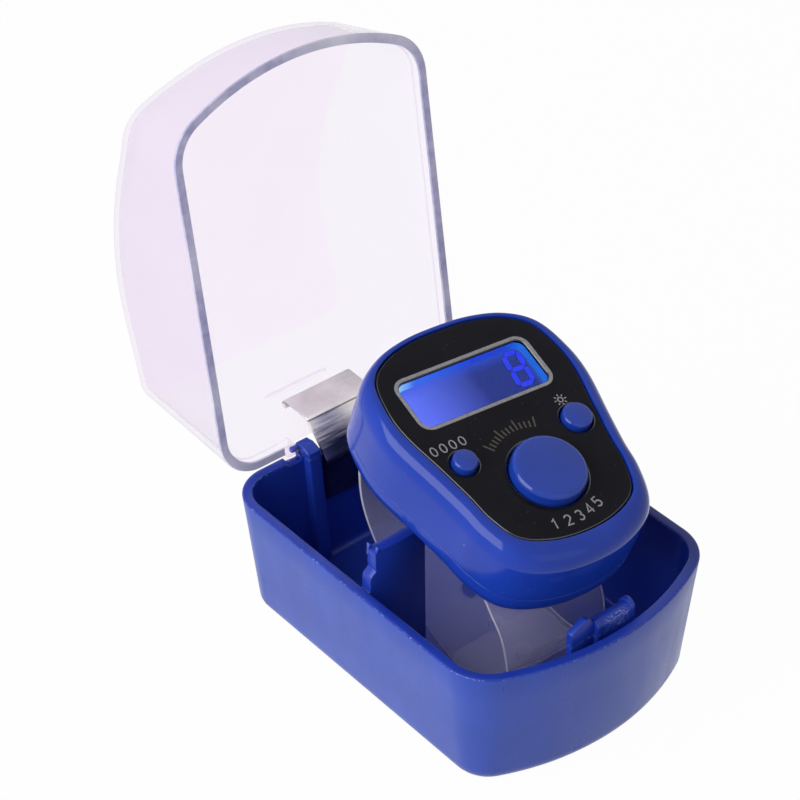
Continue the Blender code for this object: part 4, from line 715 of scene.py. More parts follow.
def case_outline(inset, side_steps=SIDE_STEPS):
    """The case seen from above, anticlockwise from its rear right corner, drawn in by inset."""
    half = CASE_WIDTH / 2 - inset
    middle = CASE_LENGTH / 2
    rear_r = max(REAR_CORNER_R - inset, SMALLEST_R)
    front_r = max(FRONT_CORNER_R - inset, SMALLEST_R)
    bulge_r = ((CASE_WIDTH / 2) ** 2 + FRONT_BULGE**2) / (2 * FRONT_BULGE)
    bulge_y = -middle + bulge_r
    arc_r = bulge_r - inset
    corner_x = half - front_r
    corner_y = bulge_y - math.sqrt((arc_r - front_r) ** 2 - corner_x**2)
    corner_angle = math.atan2(corner_y - bulge_y, -corner_x)
    left = []
    for i in range(CORNER_STEPS + 1):
        angle = math.radians(90) * (1 + i / CORNER_STEPS)
        x = rear_r * math.cos(angle) - half + rear_r
        left.append((x, middle - inset - rear_r + rear_r * math.sin(angle)))
    start = left[-1][1]
    for i in range(1, side_steps):
        left.append((-half, start + (corner_y - start) * i / side_steps))
    for i in range(CORNER_STEPS + 1):
        angle = -math.pi + (corner_angle + math.pi) * i / CORNER_STEPS
        left.append((front_r * math.cos(angle) - corner_x, corner_y + front_r * math.sin(angle)))
    for i in range(1, FRONT_STEPS // 2):
        angle = corner_angle + (-math.pi / 2 - corner_angle) * i / (FRONT_STEPS // 2)
        left.append((arc_r * math.cos(angle), bulge_y + arc_r * math.sin(angle)))
    right = [(-x, y) for x, y in reversed(left)]
    return [*left, (0.0, -middle + inset), *right]


def base_draw_in(height):
    return BASE_DRAFT * (BASE_HEIGHT - height)


def base_cup(paint):
    rim = quarter_edge(BASE_RIM_R, RIM_STEPS)
    outer, inner = base_draw_in(BASE_EDGE_R), base_draw_in(BASE_FLOOR + BASE_INNER_EDGE_R) + BASE_WALL
    sections = [(base_draw_in(0) + BASE_FLAT_INSET + BASE_EDGE_R, 0.0)]
    sections += [(outer + inset, z) for inset, z in quarter_edge(BASE_EDGE_R)]
    sections += [(base_draw_in(z), z) for z in BASE_LEVELS]
    sections += [(inset, BASE_HEIGHT - drop) for inset, drop in reversed(rim)]
    sections += [(BASE_WALL - inset, BASE_HEIGHT - drop) for inset, drop in rim]
    sections += [(base_draw_in(z) + BASE_WALL, z) for z in reversed(BASE_LEVELS)]
    sections += [(inner + inset, BASE_FLOOR + z) for inset, z in reversed(quarter_edge(BASE_INNER_EDGE_R))]
    return loft("base_moulding", [level(case_outline(inset), z) for inset, z in sections], paint)


def post(side):
    """A plate square to a side wall: a tall inner part with a torn edge, and a rounded hump at the wall."""
    wall_x = CASE_WIDTH / 2 - BASE_WALL / 2 - BASE_DRAFT * BASE_HEIGHT
    rim_x = CASE_WIDTH / 2 - BASE_WALL
    foot, top = BASE_FLOOR - SEAM_SINK, BASE_HEIGHT + POST_RISE
    profile = [
        (POST_FOOT_X, foot), (wall_x, foot), (rim_x + SEAM_SINK, BASE_HEIGHT - 2 * SEAM_SINK),
        (POST_HUMP[0][0], BASE_HEIGHT - SEAM_SINK), *((x, BASE_HEIGHT + rise) for x, rise in POST_HUMP),
        *((x, top - drop) for x, drop in POST_CREST),
    ]
    plate = soften(y_prism(profile, (-POST_HALF_THICKNESS, POST_HALF_THICKNESS), side), POST_EDGE_R)
    return fuse(plate, *[flake(side, top, *place) for place in POST_FLAKES])


def flake(side, top, x, y, width, rise, lean):
    """A thin flake left where the post was torn from its mould."""
    foot = top - FLAKE_FOOT
    profile = [(x + FLAKE_HEEL, foot), (x - width, foot)]
    profile += [(x - width * 0.8, top + rise * 0.3), (x + lean, top + rise)]
    return y_prism(profile, (y - FLAKE_HALF_THICKNESS, y + FLAKE_HALF_THICKNESS), side)


def base_lug(side):
    rear, front = CASE_LENGTH / 2 - BASE_WALL / 2, HINGE_Y - LUG_REACH
    foot, lean = BASE_FLOOR - SEAM_SINK, BASE_DRAFT * BASE_HEIGHT
    profile = (
        (front - lean, foot), (rear - lean, foot), (rear, BASE_HEIGHT - SEAM_SINK),
        *((HINGE_Y + y, HINGE_Z + z) for y, z in LUG_CREST),
        *((front + y, HINGE_Z + z) for y, z in LUG_NOSE),
    )
    return soften(x_prism(profile, (side * LUG_X[0], side * LUG_X[1])), LUG_EDGE_R, FINE_SEGMENTS)


def rounded_bar(x_range, front, back, top, radius):
    """An upright slab along X with a rounded top."""
    middle = (front + back) / 2
    profile = [(front, CATCH_FOOT), (back, CATCH_FOOT)]
    for i in range(BAR_STEPS + 1):
        angle = math.pi * i / BAR_STEPS
        profile.append((middle + radius * math.cos(angle), top - radius + radius * math.sin(angle)))
    return soften(x_prism(profile, x_range), CATCH_EDGE_R)


def case_base(paint, inner_paint):
    base = base_cup(paint)
    plate = soften(y_prism(CATCH_PLATE, CATCH_PLATE_Y), CATCH_EDGE_R)
    extras = [plate, fuse(*[rounded_bar(*bar) for bar in CATCH_BARS])]
    for side in (-1, 1):
        ends = (side * BASE_KNUCKLE_ENDS[0], side * BASE_KNUCKLE_ENDS[1])
        knuckle = hinge_rod(BASE_KNUCKLE_R, ends)
        extras += [post(side), base_lug(side), knuckle]
    fuse(base, *extras)
    tools = []
    start = BASE_KNUCKLE_X + BASE_KNUCKLE_WIDTH
    reach = KNUCKLE_R + GAP
    for side in (-1, 1):
        xs = sorted((side * start, side * (start + 2 * GAP + LID_KNUCKLE_WIDTH)))
        high = (xs[1], HINGE_Y + KNUCKLE_R + OVERRUN, BASE_HEIGHT + OVERRUN)
        tools.append(box((xs[0], HINGE_Y - reach, HINGE_Z - reach), high))
    half = SPRING_WIDTH / 2 + GAP
    low = (SPRING_SHIFT - half, HINGE_Y - 2 * LUG_DEPTH, BASE_HEIGHT - SPRING_NOTCH_DEPTH)
    tools.append(box(low, (SPRING_SHIFT + half, HINGE_Y + OVERRUN, BASE_HEIGHT + OVERRUN)))
    cut(base, *tools)
    pins = [(side * (LUG_X[1] - SEAM_SINK), side * (start + OVERRUN)) for side in (-1, 1)]
    fuse(base, *[hinge_rod(PIN_R, x_range) for x_range in pins])
    second_finish(base, inner_paint, is_inner_face)
    return base


def is_inner_face(face):
    """Rim, posts, catch, lugs and the inside, but not the outer walls and the underside."""
    place, normal = face.center / MM, face.normal
    if place.z > BASE_HEIGHT - RIM_BAND:
        return True
    if normal.z < DOWN_SLOPE and place.z < BASE_EDGE_R + OVERRUN:
        return False
    outward = place.x * normal.x + END_SHARE * place.y * normal.y > 0
    across = abs(place.x)
    on_post = abs(place.y) < POST_ZONE[1] and across < POST_ZONE[0]
    on_catch = across < CATCH_ZONE[0] and CATCH_ZONE[1] < place.y < 0
    on_lug = LUG_ZONE[0] < across < LUG_ZONE[1] and abs(normal.x) > LUG_SLOPE and place.y > LUG_ZONE[2]
    return not outward or on_post or on_catch or on_lug


# ---- Case lid ----


def roof_stations():
    stations = [(s, LID_REAR_DEPTH + (LID_PEAK_DEPTH - LID_REAR_DEPTH) * r) for s, r in ROOF_RISE_SHARES]
    stations += [(s, LID_PEAK_DEPTH - (LID_PEAK_DEPTH - LID_FRONT_DEPTH) * f) for s, f in ROOF_FALL_SHARES]
    return curve_through([(s * CASE_LENGTH, depth) for s, depth in stations], ROOF_STEPS)


ROOF_CURVE = roof_stations()


def roof_depth(y):
    from_rear = min(max(CASE_LENGTH / 2 - y, 0.0), CASE_LENGTH)
    for here, after in zip(ROOF_CURVE, ROOF_CURVE[1:]):
        if from_rear <= after.x:
            share = (from_rear - here.x) / (after.x - here.x)
            return here.y + (after.y - here.y) * max(share, 0.0)
    return ROOF_CURVE[-1].y


def roof_crown(y, ring_share):
    from_rear = (CASE_LENGTH / 2 - y) / CASE_LENGTH
    growth = REAR_CROWN + (1 - REAR_CROWN) * min(from_rear / FULL_CROWN, 1.0)
    return ROOF_CROWN * growth * (1 - ring_share**CROWN_FLATNESS)


def lid_line(inset):
    return case_outline(inset, LID_SIDE_STEPS)


def lid_outline(insets):
    """The case's outline, drawn in by an inset of its own at each point."""
    deepest = max(insets)
    points = []
    for (ax, ay), (bx, by), inset in zip(lid_line(0.0), lid_line(deepest), insets):
        share = inset / deepest
        points.append((ax + (bx - ax) * share, ay + (by - ay) * share))
    return points


def lid_skin(wall, edge_r, rim_z):
    """Rings from the rim up the lid's wall, round its edge and in over its roof."""
    heights = [roof_depth(y) - wall for _, y in lid_line(0.0)]
    rings = [level(lid_line(wall + LID_DRAFT * rim_z), rim_z)]
    for rise in LID_LEVEL_SHARES:
        levels = [rim_z + (h - edge_r - rim_z) * rise for h in heights]
        outline = lid_outline([wall + LID_DRAFT * z for z in levels])
        rings.append([Vector((x, y, z)) for (x, y), z in zip(outline, levels)])
    for inset, drop in reversed(quarter_edge(edge_r, ROUNDING_STEPS)):
        insets = [wall + LID_DRAFT * (h - edge_r) + inset for h in heights]
        rings.append([Vector((x, y, roof_depth(y) - wall - drop)) for x, y in lid_outline(insets)])
    edge = rings[-1]
    centre_y = sum(p.y for p in edge) / len(edge)
    for share in ROOF_RINGS:
        ring = []
        for point in edge:
            y = centre_y + (point.y - centre_y) * share
            ring.append(Vector((point.x * share, y, roof_depth(y) + roof_crown(y, share) - wall)))
        rings.append(ring)
    return rings


def lid_shell(paint):
    outer = lid_skin(0.0, LID_EDGE_R, LID_RIM_R)
    inner = lid_skin(LID_WALL, LID_EDGE_R - LID_WALL, LID_RIM_HEIGHT + GAP)
    rim = [
        level(lid_line(LID_RIM_R), 0.0), level(lid_line(LID_RIM_WALL - LID_RIM_R), 0.0),
        level(lid_line(LID_RIM_WALL), LID_RIM_R),
        level(lid_line(LID_RIM_WALL + LID_DRAFT * LID_RIM_HEIGHT), LID_RIM_HEIGHT),
    ]
    shell = loft("lid_moulding", [*reversed(inner), *reversed(rim), *outer], paint, None, SHARP_RING)
    shell.data.transform(Matrix.Translation((0.0, 0.0, LID_RIM_Z * MM)))
    return shell


def lid_stop():
    """The low bar across the lid's rear wall."""
    z = HINGE_Z + STOP_ABOVE_HINGE
    inner = CASE_LENGTH / 2 - LID_WALL - LID_DRAFT * (z - LID_RIM_Z)
    low = (-STOP_HALF_WIDTH, inner - STOP_DEPTH, z - STOP_HALF_HEIGHT)
    high = (STOP_HALF_WIDTH, inner + LID_WALL / 2, z + STOP_HALF_HEIGHT)
    return soften(box(low, high), STOP_EDGE_R, FINE_SEGMENTS)


def case_lid(paint, wall_paint, edge_paint):
    lid = lid_shell(paint)
    start = BASE_KNUCKLE_X + BASE_KNUCKLE_WIDTH + GAP
    low = (-BASE_KNUCKLE_X, HINGE_Y - LUG_DEPTH, LID_RIM_Z - OVERRUN)
    reliefs = [box(low, (BASE_KNUCKLE_X, HINGE_Y + LUG_DEPTH, LID_RIM_Z + LID_RELIEF_HEIGHT))]
    extras, holes = [lid_stop()], []
    rear, front, reach = CASE_LENGTH / 2 - LID_WALL / 2, HINGE_Y - KNUCKLE_R, KNUCKLE_R + GAP
    web = (
        (front, HINGE_Z), (rear, HINGE_Z), (rear - SEAM_SINK, HINGE_Z + LID_WEB_HEIGHT),
        (front, HINGE_Z + LID_WEB_HEIGHT / 2),
    )
    for side in (-1, 1):
        xs = sorted((side * (BASE_KNUCKLE_X - GAP), side * start))
        low = (xs[0], HINGE_Y - LUG_DEPTH - GAP, LID_RIM_Z - OVERRUN)
        reliefs.append(box(low, (xs[1], HINGE_Y + reach + OVERRUN, HINGE_Z + reach)))
        x_range = (side * start, side * (start + LID_KNUCKLE_WIDTH))
        extras += [x_prism(web, x_range), hinge_rod(KNUCKLE_R, x_range)]
        hole = (side * (start - GAP - OVERRUN), side * (start + LID_KNUCKLE_WIDTH - BLIND_WALL))
        holes.append(hinge_rod(PIN_R + GAP, hole))
    cut(lid, *reliefs)
    fuse(lid, *extras)
    cut(lid, *holes)
    second_finish(lid, wall_paint, lambda face: abs(face.normal.z) < LID_WALL_SLOPE)
    # The rim's faces take the opaque painted shade in place of clear plastic
    second_finish(lid, edge_paint, is_lid_rim)
    hinge = Matrix.Translation(Vector((0.0, HINGE_Y, HINGE_Z)) * MM)
    lid.data.transform(hinge @ Matrix.Rotation(-LID_OPEN_ANGLE, 4, "X") @ hinge.inverted())
    return lid


def is_lid_rim(face):
    return face.normal.z < DOWN_SLOPE and abs(face.center.z / MM - LID_RIM_Z) < LID_RIM_BAND


# ---- Hinge spring ----


def rounded_path(points, radii):
    """An open path with its inner corners turned into arcs."""
    vectors = [Vector(p) for p in points]
    path = [vectors[0]]
    for before, here, after, radius in zip(vectors, vectors[1:], vectors[2:], radii):
        into = (before - here).normalized()
        out = (after - here).normalized()
        half = math.acos(max(min(into.dot(out), 1.0), -1.0)) / 2
        reach = radius / math.tan(half)
        first, last = here + into * reach, here + out * reach
        centre = here + (into + out).normalized() * (radius / math.sin(half))
        start, end = first - centre, last - centre
        for k in range(BEND_STEPS + 1):
            path.append(centre + start.slerp(end, k / BEND_STEPS))
    path.append(vectors[-1])
    return path


def ribbon_profile(path, thickness):
    one_side, other_side = [], []
    for i, here in enumerate(path):
        before, after = path[max(i - 1, 0)], path[min(i + 1, len(path) - 1)]
        along = (after - before).normalized()
        out = Vector((along.y, -along.x))
        one_side.append(here + out * thickness / 2)
        other_side.append(here - out * thickness / 2)
    return one_side + other_side[::-1]


def hinge_spring(paint):
    wall_y = CASE_LENGTH / 2 - BASE_WALL - GAP - SPRING_THICKNESS / 2
    corners = [(HINGE_Y + y, HINGE_Z + z) for y, z in SPRING_CORNERS]
    corners += [(wall_y - BASE_DRAFT * (drop + OVERRUN), HINGE_Z - drop) for drop in SPRING_LEG_DROPS]
    profile = ribbon_profile(rounded_path(corners, SPRING_BENDS), SPRING_THICKNESS)
    middle = [(a + b) / 2 for a, b in zip(profile, profile[::-1])]
    half, soft = SPRING_WIDTH / 2, SPRING_EDGE_R
    rings = []
    for x, shrink in ((-half, soft), (soft - half, 0.0), (half - soft, 0.0), (half, soft)):
        points = [p + (m - p).normalized() * shrink for p, m in zip(profile, middle)]
        rings.append([Vector((x + SPRING_SHIFT, p.x, p.y)) for p in points])
    return loft("leaf_spring", rings, paint, None, SHARP_BEND)


# ---- Counter ----


def counter_matrix(unit):
    return Matrix.Translation(Vector(COUNTER_PLACE) * unit) @ Euler(COUNTER_TURN, "ZXY").to_matrix().to_4x4()


COUNTER, COUNTER_MM = counter_matrix(MM), counter_matrix(1)


def panel_outline(offset):
    def place(x_share, y_share):
        return (x_share * PANEL_HALF_WIDTH, y_share * (PANEL_ABOVE if y_share > 0 else PANEL_BELOW))

    right = [place(x, y) for x, y in PANEL_OUTLINE]
    left = [(-x, y) for x, y in right[1:-1]]
    smooth = [tuple(p) for p in curve_through([*right[::-1], *left], OUTLINE_STEPS, closed=True)]
    return offset_outline(smooth, offset)


def ring(offset, z, shift_share=0.0):
    """A level of the body. The panel's own levels lie nearer the display end by PANEL_SHIFT."""
    return [Vector((x, y + PANEL_SHIFT * shift_share, z)) for x, y in panel_outline(offset)]


def rod(place, radius, low, high, sides=HOLE_SIDES):
    """An upright cylinder in the counter, to add or to cut with."""
    return turned("rod", place, ((radius, low), (radius, high)), None, COUNTER, sides)


def slot(centre, width, height, radius, low, high):
    return slab("slot", rounded_rectangle(centre, width, height, radius), low, high, None, COUNTER)


def flared_hole(place, radius, low):
    """A hole with a dished mouth."""
    hole = radius + BUTTON_CLEARANCE
    flare, depth = WIDE_DISH if radius > WIDE_BUTTON_R else SMALL_DISH
    profile = [(hole, low)]
    for sine, cosine in quarter_turn(ROUNDING_STEPS):
        profile.append((hole + flare * (1 - cosine), -depth + (depth + MOUTH_LIP) * sine))
    profile.append((hole + flare, OVERRUN))
    return turned("mouth", place, profile, None, COUNTER)


def window_outline(growth, radius):
    return rounded_rectangle(DISPLAY, WINDOW_WIDTH + 2 * growth, WINDOW_HEIGHT + 2 * growth, radius)


def window_cutter(low, growth, soft=0.0):
    plain, wide = window_outline(growth, WINDOW_R), window_outline(growth + soft, WINDOW_R + soft)
    mouth = [level(plain, -soft), level(wide, WINDOW_LIP)] if soft else []
    return loft("window", [level(plain, low), *mouth, level(wide, OVERRUN)], None, COUNTER)


def upper_shell(paint):
    land = MOUTH_INSET + RIM_LAND
    edge = BODY_MARGIN - land
    rings = [ring(MOUTH_INSET + more, z, 1.0) for more, z in MOUTH_LEVELS]
    for sine, cosine in quarter_turn(TOP_STEPS):
        rings.append(ring(land + edge * sine, RIM_RISE - TOP_EDGE * (1 - cosine), 1.0 - sine))
    rings += [ring(BODY_MARGIN, SIDE_LEVEL), ring(BODY_MARGIN, UPPER_SEAM + SEAM_EDGE_R)]
    rings += [ring(BODY_MARGIN - SEAM_EDGE_R, UPPER_SEAM), ring(CAVITY, UPPER_SEAM), ring(CAVITY, DECK_UNDER)]
    shell = loft("top_shell", rings, paint, COUNTER)
    root = DECK_UNDER + SEAM_SINK
    bosses = [rod(place, BOSS_R, root, -PARTING, BOSS_SIDES) for place in SCREW_PLACES]
    bosses += [rod(place, BOSS_R, root, BOARD_BOSS_END, BOSS_SIDES) for place in BOARD_SCREW_PLACES]
    fuse(shell, *bosses)
    low = DECK_UNDER - OVERRUN
    holes = [(place, radius + BUTTON_CLEARANCE) for place, radius, *_ in BUTTONS.values()]
    cut(shell, window_cutter(low, GAP), *[rod(place, r, low, DECK_TOP + OVERRUN) for place, r in holes])
    pilots = (*SCREW_PLACES, *BOARD_SCREW_PLACES)
    return cut(shell, *[rod(p, SCREW_SHANK_R + GAP, -PARTING - OVERRUN, low, PILOT_SIDES) for p in pilots])


def lower_shell(paint):
    rings = []
    for sine, cosine in quarter_turn(BOTTOM_STEPS):
        inset = BOTTOM_INSET * (1 - sine)
        rings.append(ring(BODY_MARGIN - inset, -BODY_THICKNESS + BOTTOM_EDGE * (1 - cosine)))
    top = LOWER_SEAM
    rings += [ring(BODY_MARGIN, top - SEAM_EDGE_R), ring(BODY_MARGIN - SEAM_EDGE_R, top), ring(CAVITY, top)]
    rings += [ring(CAVITY, -BODY_THICKNESS + BOTTOM_EDGE), ring(CAVITY - BOTTOM_INSET / 2, FLOOR_TOP)]
    shell = loft("bottom_shell", rings, paint, COUNTER)
    foot = FLOOR_TOP - SEAM_SINK
    columns = [rod(place, COLUMN_R, foot, top, BOSS_SIDES) for place in SCREW_PLACES]
    fuse(shell, *columns, rod(COVER_SCREW_PLACE, BOSS_R, foot, COVER_BOSS_TOP - COVER_BOSS_DROP, BOSS_SIDES))
    return cut(shell, *lower_shell_cutters(-BODY_THICKNESS - OVERRUN, top))


def lower_shell_cutters(low, top):
    """Strap slots, the recess and opening of the battery cover, and the screws' holes."""
    over, pilot, well = FLOOR_TOP + OVERRUN, SCREW_SHANK_R + GAP, SCREW_HEAD_R + GAP
    width, height = STRAP_WIDTH + 2 * GAP, STRAP_THICKNESS + 2 * GAP
    tools = [slot((0.0, y), width, height, STRAP_SLOT_R, low, over) for y in STRAP_SLOT_Y]
    size = (2 * (COVER_HALF_WIDTH + GAP), COVER_Y[1] - COVER_Y[0] + 2 * GAP)
    tools.append(slot((0.0, sum(COVER_Y) / 2), *size, COVER_R, low, COVER_TOP + GAP))
    size = (CELL_SPACING + 2 * CELL_R, 2 * CELL_R)
    tools.append(slot((0.0, CELL_Y), *size, COVER_R, COVER_TOP - OVERRUN, over))
    tools.append(rod(COVER_SCREW_PLACE, pilot, -BODY_THICKNESS, COVER_BOSS_TOP + OVERRUN, PILOT_SIDES))
    for place in SCREW_PLACES:
        tools.append(rod(place, pilot, low, top + OVERRUN, PILOT_SIDES))
        tools.append(rod(place, well, low, FLOOR_TOP + SEAM_SINK + GAP, WELL_SIDES))
    return tools


def face_plate(paint, edge_paint):
    rings = [ring(0.0, -PANEL_THICKNESS, 1.0)]
    rings += [ring(-inset, -drop, 1.0) for inset, drop in reversed(quarter_edge(PANEL_EDGE_R, PANEL_STEPS))]
    plate = loft("face_plate", rings, paint, COUNTER, SHARP_BEND)
    low = -PANEL_THICKNESS - OVERRUN
    holes = [flared_hole(place, radius, low) for place, radius, *_ in BUTTONS.values()]
    cut(plate, window_cutter(low, 0.0, WINDOW_SOFT_R), *holes)
    low, high = PANEL_SLOPES
    second_finish(plate, edge_paint, lambda face: low < face.normal.z < high)
    return plate


def window_loft(name, section, paint, closed=True):
    """A ring round the display, or a pane in it, from (growth from the window, height) pairs."""
    rings = []
    for growth, z in section:
        radius = max(WINDOW_R + growth, SMALLEST_WINDOW_R)
        rings.append(level(window_outline(growth, radius), z))
    return loft(name, rings, paint, COUNTER, SHARP_RING, closed)


def display_pieces(paints):
    pane = window_loft("window_pane", PANE_LEVELS, paints["window_clear"], False)
    cell_outline = rounded_rectangle(DISPLAY, GLASS_WIDTH, GLASS_HEIGHT, GLASS_R, SMALL_STEPS)
    cell = slab("display_cell", cell_outline, GLASS_UNDER, GLASS_TOP, paints["lcd_blue"], COUNTER)
    well = window_loft("display_well", WELL_SECTION, paints["well"])
    return pane, cell, well, window_loft("display_bezel", BEZEL_SECTION, paints["bezel"])


def seven_segments():
    """Outlines of the seven bars of a digit, in the panel's plane."""
    tip = DIGIT_BAR / 2
    w, h = DIGIT_WIDTH / 2 - tip, DIGIT_HEIGHT / 2 - tip
    ends = {
        "a": ((-w, h), (w, h)), "b": ((w, h), (w, 0.0)), "c": ((w, 0.0), (w, -h)), "d": ((-w, -h), (w, -h)),
        "e": ((-w, 0.0), (-w, -h)), "f": ((-w, h), (-w, 0.0)), "g": ((-w, 0.0), (w, 0.0)),
    }
    shapes = {}
    for name, (start, end) in ends.items():
        a, b = Vector(start), Vector(end)
        along = (b - a).normalized()
        across = Vector((-along.y, along.x)) * DIGIT_BAR / 2
        first, last = a + along * DIGIT_JOINT, b - along * DIGIT_JOINT
        points = [first, first + along * tip + across, last - along * tip + across, last]
        points += [last - along * tip - across, first + along * tip - across]
        shapes[name] = [(DIGIT_CENTRE[0] + p.x + p.y * DIGIT_SLANT, DIGIT_CENTRE[1] + p.y) for p in points]
    return shapes


def grown(points, distance):
    signed = sum(a[0] * b[1] - b[0] * a[1] for a, b in zip(points, points[1:] + points[:1]))
    return offset_outline(points if signed > 0 else points[::-1], distance)


def digit_pieces(paints):
    made = []
    for name, outline in seven_segments().items():
        for kind, growth, low, high, finish in DIGIT_LAYERS:
            shape, levels = grown(outline, growth), (GLASS_TOP + low, GLASS_TOP + high)
            made.append(slab(f"digit_{kind}_{name}", shape, *levels, paints[finish], COUNTER))
    return made


def button(name, paint):
    place, radius, rise, edge_r, travel, dome = BUTTONS[name]
    flange, under = radius + FLANGE_LIP, FLANGE_TOP - FLANGE_THICKNESS
    profile = [(PLUNGER_R, DOME_TOP + GAP + travel), (PLUNGER_R, under), (flange, under)]
    profile += [(flange, FLANGE_TOP), (radius, FLANGE_TOP), (radius, -PANEL_THICKNESS)]
    for inset, drop in reversed(quarter_edge(edge_r, ROUNDING_STEPS)):
        profile.append((radius - inset, rise - dome - drop))
    for share in DOME_SHARES:
        profile.append(((radius - edge_r) * share, rise - dome * share**2))
    matrix = COUNTER @ Matrix.Translation(Vector((*place, 0.0)) * MM)
    sides = ROUND_SIDES if radius > WIDE_BUTTON_R else SMALL_BUTTON_SIDES
    return turned(f"{name}_cap", (0.0, 0.0), profile, paint, matrix, sides, SHARP_CAP)


# ---- Marks on the panel ----


def arc(centre, radius, start, end, steps=10):
    angles = [math.radians(start + (end - start) * i / steps) for i in range(steps + 1)]
    return [(centre[0] + radius * math.cos(a), centre[1] + radius * math.sin(a)) for a in angles]


def ray(centre, near, far, angle):
    return [arc(centre, radius, angle, angle, 1)[0] for radius in (near, far)]


# Each figure as the lines that draw it, one high
FIGURES = {
    "0": [[(0.3 + (x - 0.3) * 0.6, y) for x, y in arc(FIGURE_MIDDLE, 0.5, 0, 360, 24)]],
    "1": [[(0.12, 0.76), (0.36, 1.0), (0.36, 0.0)]],
    "2": [[*arc((0.3, 0.72), 0.28, 165, -35), (0.02, 0.0), (0.6, 0.0)]],
    "3": [arc((0.29, 0.74), 0.26, 150, -80, 9), arc((0.29, 0.27), 0.28, 82, -150, 9)],
    "4": [[(0.46, 0.0), (0.46, 1.0), (0.0, 0.28), (0.62, 0.28)]],
    "5": [[(0.56, 1.0), (0.1, 1.0), (0.06, 0.56), *arc((0.28, 0.31), 0.3, 105, -150, 11)]],
    "lamp": [
        arc(FIGURE_MIDDLE, 0.22, 0, 360, 20), *(ray(FIGURE_MIDDLE, 0.36, 0.56, a) for a in range(0, 360, 45)),
    ],
}


def stroke(name, points, width, paint):
    """A flat line of this width, drawn on the panel."""
    path = [Vector(p) for p in points]
    closed = (path[0] - path[-1]).length < 1e-6
    if closed:
        path.pop()
    count = len(path)
    left, right = [], []
    for i, here in enumerate(path):
        before = path[(i - 1) % count] if closed or i else here
        after = path[(i + 1) % count] if closed or i < count - 1 else here
        first = (here - before).normalized() if (here - before).length else (after - here).normalized()
        second = (after - here).normalized() if (after - here).length else first
        out = Vector((first.y + second.y, -first.x - second.x))
        out = out.normalized() if out.length else Vector((first.y, -first.x))
        reach = width / 2 / max(math.sqrt(max((1 + first.dot(second)) / 2, 0.0)), 0.55)
        left.append(here + out * reach)
        right.append(here - out * reach)
    bm = bmesh.new()
    sides = ((left, MARK_TOP), (right, MARK_TOP), (right, MARK_BASE), (left, MARK_BASE))
    rows = [[bm.verts.new((p.x, p.y, z)) for p in side] for side, z in sides]
    for i in range(count if closed else count - 1):
        j = (i + 1) % count
        for upper, lower in zip(rows, rows[1:] + rows[:1]):
            bm.faces.new((upper[i], upper[j], lower[j], lower[i]))
    if not closed:
        bm.faces.new([row[0] for row in rows])
        bm.faces.new([row[-1] for row in rows])
    return finish_mesh(name, bm, paint, COUNTER, SHARP_RING)


def figure(name, kind, centre, height, width, paint, turn=0.0):
    """One figure as a single object, from its strokes."""
    made = []
    for i, line in enumerate(FIGURES[kind]):
        points = []
        for x, y in line:
            local = Vector(((x - FIGURE_MIDDLE[0]) * height, (y - FIGURE_MIDDLE[1]) * height))
            local.rotate(Matrix.Rotation(turn, 2))
            points.append((centre[0] + local.x, centre[1] + local.y))
        made.append(stroke(f"{name}_{i}", points, width, paint))
    return join(name, made)


def join(name, made):
    """One object from several of the same frame, with their meshes side by side."""
    bm = bmesh.new()
    for obj in made:
        bm.from_mesh(obj.data)
    keep = made[0]
    for obj in made[1:]:
        bpy.data.objects.remove(obj, do_unlink=True)
    bm.to_mesh(keep.data)
    bm.free()
    keep.name = name
    return keep


def plain_scale(name, paint):
    """Short lines that fan out above the count button, every fourth one longer."""
    made = []
    for i in range(SCALE_LINES):
        far = SCALE_LONG if i % 4 == 0 else SCALE_SHORT
        ends = ray(SCALE_CENTRE, SCALE_NEAR, far, SCALE_START + i * SCALE_STEP)
        made.append(stroke(f"{name}_{i}", ends, SCALE_WIDTH, paint))
    return join(name, made)


def panel_marks(paints):
    ink = paints["ink"]
    made = []
    for i in range(ZERO_COUNT):
        place = (ZERO_PLACE[0] + ZERO_STEP * i, ZERO_PLACE[1])
        made.append(figure(f"mark_zero_{i}", "0", place, *ZERO_SIZE, ink))
    made.append(figure("mark_lamp", "lamp", LAMP_SIGN_PLACE, *LAMP_SIGN_SIZE, ink))
    for i, (x, y, turn) in enumerate(COUNT_MARKS):
        made.append(figure(f"mark_count_{i}", "12345"[i], (x, y), *COUNT_SIZE, ink, math.radians(turn)))
    return [*made, plain_scale("mark_scale", paints["gold"])]


# ---- Strap ----


def strap_path(shares):
    return [(y * COUNTER_PLACE[2], z * COUNTER_PLACE[2]) for y, z in shares]


def strap_sections(path, slot_y, steps):
    """Middle line of one strap half as (place, across) pairs, from its head in the slot."""
    across = (COUNTER_MM.to_3x3() @ Vector((1.0, 0.0, 0.0))).normalized()
    head = [(0.0, slot_y, FLOOR_TOP + GAP), (0.0, slot_y, -BODY_THICKNESS - STRAP_STUB)]
    start = [COUNTER_MM @ Vector(p) for p in head]
    smooth = curve_through([(start[-1].y, start[-1].z), *path], steps)
    count = len(smooth) - 1
    sections = [(start[0], across)]
    for i, point in enumerate(smooth):
        share = min(2 * i / count, 1.0)
        middle = Vector((start[-1].x * (1 - share), point.x, point.y))
        sections.append((middle, across.lerp(Vector((1.0, 0.0, 0.0)), share).normalized()))
    return sections


def strap_normal(sections, i):
    before, after = sections[max(i - 1, 0)][0], sections[min(i + 1, len(sections) - 1)][0]
    return (after - before).cross(sections[i][1]).normalized()


